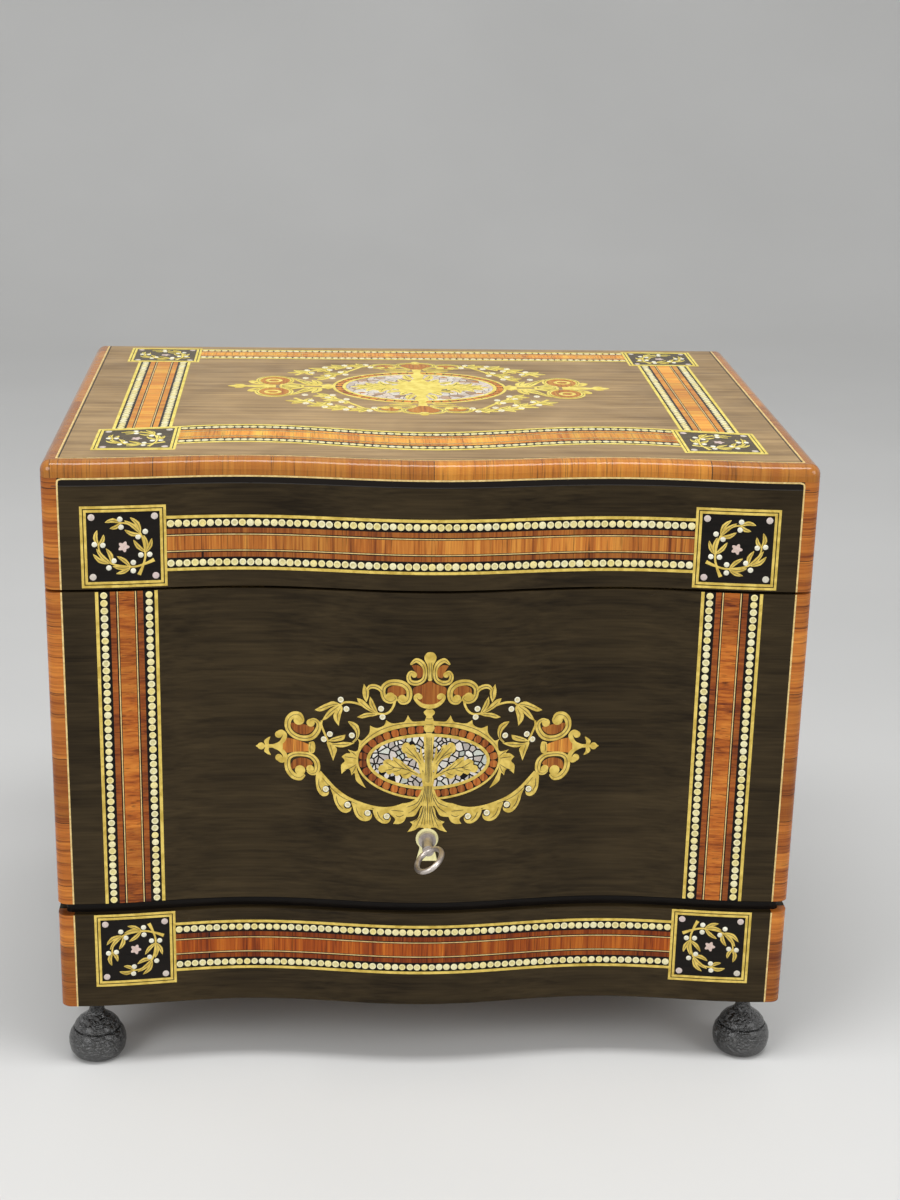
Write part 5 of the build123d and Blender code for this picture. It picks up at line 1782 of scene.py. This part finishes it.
@dataclass
class LidMedallion(Medallion):
    """The lid's ornament, alike at its front and its back."""

    def make(self) -> None:
        """Builds the medallion."""
        centre = (0, 0)
        self.bed(centre, (42.8, 35.3))
        self.ring(centre, (42.2, 34.7), 1.5, 0)
        self.blocks(centre, (39.7, 32.2), (1, 89), 4.2, 3.4)
        self.ring(centre, (37.1, 29.6), 1.7, 0)
        self.chips(arc(centre, (36.2, 28.7), -90, 90, 26), 130, 0.3, LID_CHIP_TINTS)
        self.heart()
        self.crown()
        self.foliage()
        self.side()
        self.finish()

    def heart(self) -> None:
        """Adds the lobed star in the middle, with its stems and side leaves."""
        star = []
        for turn in (math.radians(i * 5) for i in range(72)):
            reach = 13.2 + 1.7 * math.cos(8 * turn) + 1.0 * math.cos(4 * turn)
            star.append((reach * math.cos(turn), reach * 1.2 * math.sin(turn)))
        self.brass.outline(star)
        self.stroke(((0, 14), (0, 20), (0, 26), (0, 33), (0, 41)), (8, 4.4, 7, 3.2, 5))
        for tip in ((9.8, 18.2), (16.4, 13), (6.6, 27.6), (22.4, 7.6)):
            self.leaf((tip[0] * 0.6, tip[1] * 0.6), tip, 4.2, 0.6)
        self.stroke(((13, 0), (20, 0), (27, 0), (34, 0)), (7, 3.4, 5.4, 0.6))
        self.leaf((19, 0.8), (26.4, 9.6), 4.6, 1)
        self.leaf((22, 0.6), (31.6, 5.6), 4.2, 0.8)
        self.leaf((16, 1.2), (19.4, 12.8), 4.2, 0.8)
        for spot in ((28.4, 13.4), (12.6, 23.6)):
            self.piece(((spot[0] - 2.2, spot[1]), (spot[0], spot[1] + 1.4),
                        (spot[0] + 2.4, spot[1] - 0.4), (spot[0], spot[1] - 1.6)))

    def crown(self) -> None:
        """Adds the crowns at front and back."""
        self.stroke(((0, 60.2), (0, 57.2), (0, 54)), (2, 5.4, 3))
        self.piece(((0, 54.4), (2.6, 55.2), (6.8, 52.4), (7.4, 48.4), (4.4, 45.4), (2.6, 42.4),
                    (0, 41.4)))
        self.stroke(((0, 56.2), (4.4, 56.4), (8.8, 53.6), (9.2, 48.8), (6, 45), (3.4, 41)),
                    (2.2, 2.2, 2.2, 2, 1.8, 1.6), True)
        self.piece(((11.6, 50), (15, 51.4), (19.4, 49.8), (20, 46.6), (16.4, 44.4), (12.4, 45.6)))
        line = ((9.6, 46.4), (10.4, 51.2), (14.6, 53.6), (20.4, 52.4), (22.8, 48.6), (21, 44.6),
                (17.2, 43.8))
        self.stroke(line, (1.6, 2.2, 2.4, 2.4, 2.4, 2, 1.4), True)
        self.bead((12.2, 45.4), 2.2)
        self.bead((18, 45.4), 2)
        self.stroke(((3.4, 40.4), (8.6, 41), (13.8, 41.2), (18.8, 42.4)), (2.2, 2, 1.8, 0.6), True)
        self.stroke(((5, 36.6), (10.6, 37.2), (16, 38.2)), (1.2, 2.8, 0.4), True)

    def foliage(self) -> None:
        """Adds the branches between the crowns and the sides."""
        branch = ((22, 47), (28, 49), (36, 46.6), (46, 41.4), (55, 34), (61, 26))
        self.stroke(branch, (1.7, 1.5, 1.5, 1.5, 1.7))
        self.stroke(((27, 48.4), (32, 40), (38, 30.6), (44.6, 22)), (1.4, 1.4, 1.3, 1.1))
        sprays = (((25, 48.6), ((30.6, 54.8), (35.6, 51.8), (31.6, 45))),
                  ((36, 46.6), ((43.4, 51.6), (47.6, 46.6), (41.4, 39.6))),
                  ((55, 34), ((62.4, 37.6), (65.4, 31.4), (52.6, 26.6))),
                  ((38, 30.6), ((47.4, 31.4), (48.8, 25.2), (36.8, 37.6))),
                  ((46, 41.4), ((55, 43), (50.6, 33.8), (44, 33))),
                  ((44.6, 22), ((52.4, 21.6), (50.4, 15), (42.4, 27.2))),)
        for base, tips in sprays:
            for number, tip in enumerate(tips):
                self.leaf(base, tip, 4, (0.9, 0.3, -0.9)[number])
            self.berry((base[0] + 0.6, base[1] + 3), 1.6)
            self.berry((base[0] - 1.8, base[1] - 2.8), 1.6)

    def side(self) -> None:
        """Adds the ovals and the finial at either side."""
        middle = (71.2, 12.4)
        self.piece(arc(middle, (7.4, 8.8), 0, 345, 23))
        self.stroke(arc(middle, (8.4, 9.8), -70, 250, 24), (1.4, 2.2, 2.4, 2.2, 2), True, 2)
        self.stroke(arc((71.8, 12.8), (3.4, 3.2), 0, 360, 16), (1.7, 1.7), False, 2)
        self.stroke(((78, 5), (81.4, 6.4), (83.4, 10.4), (81.6, 12.2)), (1.4, 1.8, 1.8, 0.8))
        self.bead((81.4, 10.2), 1.7)
        self.stroke(((70.6, 0), (78, 0), (85, 0)), (5.6, 6, 2.6))
        self.stroke(((84, 0), (87.4, 0), (90.4, 0), (94, 0)), (2.2, 4.6, 4.8, 0.3))
        self.stroke(((86, 0.8), (87.6, 3.2), (90.6, 3.6)), (1, 2, 0.4))
        self.cutout(arc((62.8, 0), (6.2, 4.4), 0, 345, 23))
        self.cuts.ribbon(arc((62.8, 0), (4.6, 2.8), 0, 360, 24), (0.3, 0.3))
        self.cuts.ribbon(arc((-62.8, 0), (4.6, 2.8), 0, 360, 24), (0.3, 0.3))
        self.stroke(((45.4, 3.4), (51, 2.2), (58, 3), (64, 7.4)), (2, 1.5, 1.5, 1))
        self.stroke(((42.6, 0), (45, 0), (48, 0)), (6, 12, 3.4))
        self.leaf((50, 3.2), (53, 14.6), 4.6, -1.2)
        self.leaf((52, 3.2), (59.4, 13.8), 4.6, -0.8)
        self.leaf((54, 3.4), (63.4, 19.8), 3.6, -0.6)
        self.berry((56.2, 19), 1.6)


@dataclass
class FrontDressing:
    """Marquetry of the three parts of the front: lid frieze, front panel and plinth."""

    sizes: Frame
    finishes: Finishes
    plaque_centre: float = 132.75
    band_end: float = 114.5
    string_line: float = 160.0
    string_width: float = 0.7
    string_turn: float = 2.6
    string_top_gap: float = 0.4
    joint_inset: float = 5.0
    joint_width: float = 0.3
    frieze_levels: Point = (18.95, 19.7)
    plinth_levels: Point = (28.25, 28.1)
    upright_band_centre: float = 132.2
    upright_squeeze: float = 1.08
    medallion_level: float = 154.3
    medallion_stretch: Point = (1.02, 1.04)

    def frieze(self, name: str, body: str, levels: Point, flip: int, rosewood: Material) -> None:
        """Adds a horizontal band between two plaques.

        Args:
            name: the first word of its pieces' names.
            body: the body that it rides on.
            levels: the levels of the plaques and of the band.
            flip: 1 where the wreaths stand upright, -1 where they are upside down.
            rosewood: the finish of its rosewood.
        """
        front = SerpentineFace(self.sizes.front)
        plaque_level, band_level = levels
        for side in SIDES:
            face = ShiftedFace(front, side * self.plaque_centre, plaque_level)
            end = "left" if side < 0 else "right"
            Plaque(f"{name}_{end}_plaque", face, body, self.finishes, side, flip).make()
        band = ShiftedFace(front, 0.0, band_level)
        reach = self.band_end
        Band(f"{name}_band", band, -reach, reach, self.finishes, rosewood, body).make()

    def strings(self) -> None:
        """Adds the pale strings beside the corner edgings and under the nosing."""
        s, front = self.sizes, SerpentineFace(self.sizes.front)
        widths, top = (self.string_width,) * 2, s.nosing_bottom - self.string_top_gap
        spans = (
            ("lid", s.lid_bottom, s.nosing_bottom - self.string_turn),
            ("front_panel", s.panel_bottom, s.panel_top),
            ("case", s.plinth_bottom, s.plinth_top),
        )
        for body, low, high in spans:
            work = FlatWork(f"{body}_upright_strings", front, Layer.STRING)
            for side in SIDES:
                u = side * self.string_line
                work.ribbon([(u, low), (u, (low + high) / 2), (u, high)], widths)
                if body == "lid":
                    corner = [(u, high), (u * 0.998, high + 1.6), (u - side * 1.9, top)]
                    work.ribbon(curve(corner), widths)
            if body == "lid":
                reach, half = self.string_line - 1.8, self.string_width / 2
                work.strip(-reach, reach, top - half, top + half)
            work.finish(self.finishes.boxwood, body)
        joint = FlatWork("lid_board_joint", front, Layer.JOINT)
        reach, half = s.half_width - self.joint_inset, self.joint_width / 2
        joint.strip(-reach, reach, s.board_bottom - half, s.board_bottom + half)
        joint.finish(self.finishes.mastic, "lid")

    def make(self) -> None:
        """Builds the marquetry of the front."""
        s, f = self.sizes, self.finishes
        lid_levels = tuple(s.lid_bottom + level for level in self.frieze_levels)
        plinth_levels = tuple(s.plinth_bottom + level for level in self.plinth_levels)
        self.frieze("lid_frieze", "lid", lid_levels, 1, f.upright)
        self.frieze("plinth", "case", plinth_levels, -1, f.plinth)
        front = SerpentineFace(s.front)
        for side in SIDES:
            face = SwappedFace(front, side * self.upright_band_centre)
            name = "front_left_band" if side < 0 else "front_right_band"
            Band(name, face, s.panel_bottom, s.panel_top, f, f.level, "front_panel",
                 self.upright_squeeze).make()
        face = ShiftedFace(front, 0.0, self.medallion_level, self.medallion_stretch)
        FrontMedallion("front_ornament", face, "front_panel", f, f.upright, f.inlay_brass).make()
        self.strings()


@dataclass
class LidDressing:
    """Marquetry of the lid's top."""

    sizes: Frame
    finishes: Finishes
    outer_edge: float = 147.8
    plaque_size: float = 36.5
    front_near: Point = (22.8, 21.0)
    front_far: Point = (66.0, 58.5)
    back_setbacks: Point = (206.5, 241.0)
    front_band: Point = (24.5, 57.5)
    front_swing: float = 13.0
    back_band: Point = (216.5, 239.0)
    side_band: Point = (115.5, 142.0)
    band_width: float = 24.8
    medallion_setback: float = 151.0
    nosing_width: float = 6.4
    string: Point = (0.4, 0.8)
    dark_line: Point = (1.3, 0.5)
    back_margin: float = 4.7
    strip_shade: float = 0.85

    def far_line(self, across: float) -> float:
        """Setback of the front plaques' far edge, at a distance from the middle."""
        share = (across - self.outer_edge + self.plaque_size) / self.plaque_size
        return self.front_far[0] + (self.front_far[1] - self.front_far[0]) * share

    def plaques(self) -> None:
        """Adds the four corner plaques, the front ones skewed by the curve."""
        top = LidFace(self.sizes.lid_top, (0.0, self.sizes.front))
        inner, outer = self.outer_edge - self.plaque_size, self.outer_edge
        back_near, back_far = self.back_setbacks
        front = ((inner, self.front_near[0]), (outer, self.front_near[1]),
                 (outer, self.front_far[1]), (inner, self.front_far[0]))
        back = ((inner, back_near), (outer, back_near), (outer, back_far), (inner, back_far))
        f = self.finishes
        for side, end in zip(SIDES, ("left", "right")):
            for row, corners in (("front", front), ("back", back)):
                if side < 0:
                    corners = tuple((-corners[i][0], corners[i][1]) for i in (1, 0, 3, 2))
                face = SkewedFace(top, corners, (self.plaque_size / 2,) * 2)
                name = f"lid_{row}_{end}_plaque"
                Plaque(name, face, "lid", f, side, 1, f.lid_brass, f.lid_field).make()

    def bands(self) -> None:
        """Adds the bands between the plaques."""
        s, f = self.sizes, self.finishes
        reach = self.outer_edge - self.plaque_size
        rows = (("front", self.front_band, self.front_swing), ("back", self.back_band, 0.0))
        for row, (near, far), swing in rows:
            face = LidFace(s.lid_top, (0.0, s.front + (near + far) / 2), swing)
            squeeze = (far - near) / self.band_width
            Band(f"lid_{row}_band", face, -reach, reach, f, f.deep, "lid", squeeze, f.lid_brass,
                 strip_shade=self.strip_shade).make()
        low, high = self.side_band
        far = self.back_setbacks[0]
        half = (far - self.far_line((low + high) / 2)) / 2
        top = LidFace(s.lid_top, (0.0, s.front))
        for side, name in zip(SIDES, ("lid_left_band", "lid_right_band")):
            inner, outer = (-high, -low) if side < 0 else (low, high)
            near = (self.far_line(abs(inner)), self.far_line(abs(outer)))
            corners = ((inner, near[0]), (inner, far), (outer, far), (outer, near[1]))
            face = SkewedFace(top, corners, (half, self.band_width / 2), -1)
            Band(name, face, -half, half, f, f.across, "lid", metal=f.lid_brass,
                 strip_shade=self.strip_shade).make()

    def strings(self) -> None:
        """Adds the pale string and the dark line inside the nosing."""
        s = self.sizes
        lines = (("lid_top_string", self.string, self.finishes.boxwood, Layer.STRING),
                 ("lid_top_line", self.dark_line, self.finishes.mastic, Layer.DARK_LINE))
        for name, (gap, width), material, layer in lines:
            reach = s.half_width - self.nosing_width - gap
            start = s.front + self.nosing_width + gap
            work = FlatWork(name, LidFace(s.lid_top, (0.0, start), SWING), layer)
            work.strip(-reach, reach, -width / 2, width / 2)
            work.face = LidFace(s.lid_top)
            start += wave(reach)
            run = s.back - self.back_margin - start
            for side in SIDES:
                line = [(side * reach, start + run * i / 8) for i in range(9)]
                work.ribbon(line, (width,) * 2)
            work.finish(material, "lid")

    def make(self) -> None:
        """Builds the marquetry of the top."""
        self.bands()
        self.plaques()
        self.strings()
        face = LidFace(self.sizes.lid_top, (0.0, self.sizes.front + self.medallion_setback))
        f = self.finishes
        LidMedallion("lid_ornament", face, "lid", f, f.deep, f.lid_brass, (-1, 1)).make()


@dataclass
class SideDressing:
    """Plain brass stringing on the wings, with a diamond in the middle."""

    finishes: Finishes
    inset: float = 12.0
    width: float = 1.0
    diamond: Point = (26.0, 15.0)
    stud: float = 3.0

    def loop(self, work: FlatWork, corners: Outline) -> None:
        """Adds a string round the corners."""
        for a, b in zip(corners, [*corners[1:], corners[0]]):
            work.ribbon([a, ((a[0] + b[0]) / 2, (a[1] + b[1]) / 2), b], (self.width,) * 2)

    def make(self) -> None:
        """Builds the stringing of both sides."""
        for side, name in zip(SIDES, ("left_wing", "right_wing")):
            low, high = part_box(f"{name}_board")
            reach = high.x / MM if side > 0 else -low.x / MM
            work = FlatWork(f"{name}_stringing", SideFace(reach, side), Layer.SIDE_STRING)
            u0, u1 = low.y / MM + self.inset, high.y / MM - self.inset
            v0, v1 = low.z / MM + self.inset, high.z / MM - self.inset
            self.loop(work, [(u0, v0), (u1, v0), (u1, v1), (u0, v1)])
            middle = ((u0 + u1) / 2, (v0 + v1) / 2)
            across, up = self.diamond
            tips = [(across, 0.0), (0.0, up), (-across, 0.0), (0.0, -up)]
            self.loop(work, [(middle[0] + u, middle[1] + v) for u, v in tips])
            work.disc(*middle, self.stud, sides=20)
            work.finish(self.finishes.inlay_brass, name)


@dataclass
class TurnedFoot:
    """One turned foot, in place of its plain solid.

    From the floor it has a flattened ball, a groove, a dome, a thin neck and a flared top. The
    profile gives the radius and the level of each ring.
    """

    node: str
    finishes: Finishes
    sole: float = 9.0
    step: float = 0.25
    sides: int = 48
    sharp_angle: float = 50.0
    profile: Sequence[Point] = (
        (11.3, 1.1), (12.8, 3.5), (13.4, 6.8), (13.3, 9.3), (12.6, 11.7), (11.7, 13.2),
        (11.1, 13.9), (10.3, 13.7), (10.3, 14.5), (10.8, 14.7), (10.3, 16.0), (8.9, 17.8),
        (6.9, 19.4), (5.0, 20.8), (3.8, 22.4), (3.4, 24.4), (3.7, 27.0), (4.7, 29.6), (6.2, 32.0),
    )

    def make(self) -> None:
        """Builds the foot where its node stands."""
        rings = tuple((radius / self.sole, level / self.step) for radius, level in self.profile)
        pattern = WORKSHOP.button(self.sides, rings)
        low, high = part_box(self.node)
        middle = (low + high) / 2
        across, up = self.sole * MM, self.step * MM
        points = [(middle.x + x * across, middle.y + y * across, low.z + z * up)
                  for x, y, z in pattern.points]
        name = f"{self.node}_turned"
        piece = new_piece(name, points, pattern.faces, self.finishes.knurled, self.sharp_angle)
        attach(piece, "case")
        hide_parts(self.node)
        LOG.info("%s stands for %s", piece.name, self.node)


class Carcase:
    """Gives every carried-over part of the cabinet its finish."""

    def __init__(self, finishes: Finishes) -> None:
        """Pairs each finish with the parts that have it.

        Args:
            finishes: the finishes.
        """
        f = finishes
        ends = ("left", "right")
        corners = [f"{depth}_{side}" for depth in ("front", "back") for side in ends]
        columns = [f"{side}_{row}_glasses" for side in ends for row in ("inner", "outer")]
        hinges = [f"{side}_hinge_{part}_leaves" for side in ends for part in ("case", "wing")]
        hinges += ["lid_hinge_case_leaves", "lid_hinge_lid_leaves", "lid_hinge_pins"]
        hinges += ["front_hinge_lid_leaves", "front_hinge_panel_leaves"]
        glassware = [f"{corner}_{part}" for corner in corners for part in ("decanter", "stopper")]
        sides = (("plinth", "rail"), ("lid", "frieze"))
        self.feet = [TurnedFoot(f"{corner}_foot", f) for corner in corners]
        self.plan: list[tuple[Material, list[str]]] = [
            (f.front_ebony, ["plinth_front_rail", "plinth_back_rail", "back_panel"]),
            (f.front_ebony, ["front_panel_board", "front_medallion"]),
            (f.front_ebony, ["lid_front_frieze", "lid_back_frieze"]),
            (f.side_ebony, [f"{place}_{side}_{part}" for place, part in sides for side in ends]),
            (f.side_ebony, [f"{side}_wing_board" for side in ends]),
            (f.top_ebony, ["lid_board", "lid_medallion"]),
            (f.black_ebony, ["plinth_moulding"]),
            (f.ground, ["plinth_inlay", "lid_frieze_inlay", "lid_top_inlay", "front_bands"]),
            (f.corner, ["case_edgings", "lid_edgings", "front_edgings"]),
            (f.nosing, ["lid_edge_nosing"]),
            (f.oak, ["base_board", "plinth_corner_blocks"]),
            (f.tray, ["rack_tray"]),
            (f.brass, ["rack_gallery", "rack_posts", "rack_handle", "strike_plate", *hinges]),
            (f.pale_brass, ["escutcheon"]),
            (f.steel, ["key", "lock_bolt", "lock_case"]),
            (f.knurled, [f"{corner}_foot" for corner in corners]),
            (f.glass, glassware + columns),
        ]

    def dress(self) -> None:
        """Puts the finishes on the parts."""
        done = set()
        for material, names in self.plan:
            for name in names:
                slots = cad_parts[name].data.materials
                if not len(slots):
                    slots.append(material)
                for number in range(len(slots)):
                    slots[number] = material
                done.add(name)
        for foot in self.feet:
            foot.make()
        left = sorted(set(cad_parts) - done)
        LOG.info("%d parts of the frame dressed, %d left: %s", len(done), len(left), left)


@dataclass
class Studio:
    """Pale floor with a swept backdrop, soft lamps and the camera."""

    floor_size: float = 5.0
    backdrop_height: float = 2.6
    sweep: float = 1.0
    soft_light: float = 0.42
    camera_place: tuple[float, float, float] = (-0.046585, -0.996911, 0.519059)
    camera_turn: tuple[float, float, float] = (70.82102910, -1.03642035, -2.61400475)
    lens: float = 64.14196549
    shift: Point = (0.01728917, 0.03363413)

    def floor(self) -> None:
        """Builds the floor and the backdrop as one swept sheet."""
        bpy.ops.mesh.primitive_plane_add(size=self.floor_size)
        sheet = bpy.context.object
        sheet.name = "studio_floor"
        bpy.ops.object.mode_set(mode="EDIT")
        WORKSHOP.pick(lambda place: place.y > 0)
        rise = {"value": (0, 0, self.backdrop_height)}
        bpy.ops.mesh.extrude_region_move(TRANSFORM_OT_translate=rise)
        WORKSHOP.pick(lambda place: place.y > 0 and abs(place.z) < 0.001)
        bpy.ops.mesh.bevel(offset=self.sweep, segments=16)
        bpy.ops.object.mode_set(mode="OBJECT")
        bpy.ops.object.shade_smooth()
        r = Recipe("pale_floor")
        veil = r.noise(r.place, 3.0, 3.0)
        colour = r.ramp(veil, [(0.3, (0.66, 0.66, 0.65)), (0.7, (0.70, 0.70, 0.69))])
        sheet.data.materials.append(r.dress(Base_Color=colour, Roughness=0.75))

    def lamps(self) -> None:
        """Adds the soft lamps."""
        lamps = (
            ("overhead", (0.0, -0.3, 1.5), (0.0, 0.0, 0.1), (1.2, 0.4), 13.0),
            ("front_left", (-1.25, -1.35, 0.95), (0.0, 0.0, 0.15), (0.9, 0.9), 12.5),
            ("front_right", (1.35, -1.05, 1.05), (0.0, 0.0, 0.15), (0.8, 0.8), 8.0),
        )
        for name, place, aim, (across, along), power in lamps:
            bpy.ops.object.light_add(type="AREA", location=place)
            lamp = bpy.context.object
            lamp.name = name
            lamp.data.shape = "RECTANGLE"
            lamp.data.size, lamp.data.size_y = across, along
            lamp.data.energy = power
            turn = (Vector(aim) - Vector(place)).to_track_quat("-Z", "Y")
            lamp.rotation_euler = turn.to_euler()

    def world(self) -> None:
        """Makes the world white where it is seen, and a soft light elsewhere."""
        world = bpy.data.worlds.new("studio_world")
        bpy.context.scene.world = world
        world.use_nodes = True
        nodes, links = world.node_tree.nodes, world.node_tree.links
        path = nodes.new("ShaderNodeLightPath")
        seen = path.outputs["Is Camera Ray"]
        for kind in ("Is Glossy Ray", "Is Transmission Ray"):
            either = nodes.new("ShaderNodeMath")
            either.operation = "MAXIMUM"
            links.new(seen, either.inputs[0])
            links.new(path.outputs[kind], either.inputs[1])
            seen = either.outputs[0]
        strength = nodes.new("ShaderNodeMapRange")
        strength.inputs["To Min"].default_value = self.soft_light
        strength.inputs["To Max"].default_value = 1.0
        links.new(seen, strength.inputs["Value"])
        links.new(strength.outputs[0], nodes["Background"].inputs["Strength"])
        nodes["Background"].inputs["Color"].default_value = (1.0, 1.0, 1.0, 1.0)

    def camera(self) -> None:
        """Adds the camera at the photograph's viewpoint."""
        bpy.ops.object.camera_add(location=self.camera_place)
        camera = bpy.context.object
        camera.rotation_euler = [math.radians(angle) for angle in self.camera_turn]
        camera.data.lens = self.lens
        camera.data.sensor_width = 36.0
        camera.data.shift_x, camera.data.shift_y = self.shift
        bpy.context.scene.camera = camera

    def make(self) -> None:
        """Builds the studio."""
        bpy.context.scene.view_settings.view_transform = "Standard"
        self.floor()
        self.lamps()
        self.world()
        self.camera()
        bpy.ops.object.select_all(action="DESELECT")


def main() -> None:
    """Builds the scene in order."""
    logging.basicConfig(level=logging.INFO, format="%(name)s: %(message)s")
    bpy.ops.object.select_all(action="DESELECT")
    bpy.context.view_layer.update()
    sizes = Frame.measured()
    finishes = Finishes(sizes)
    Carcase(finishes).dress()
    FrontDressing(sizes, finishes).make()
    LidDressing(sizes, finishes).make()
    SideDressing(finishes).make()
    Studio().make()


if __name__ == "__main__":
    main()
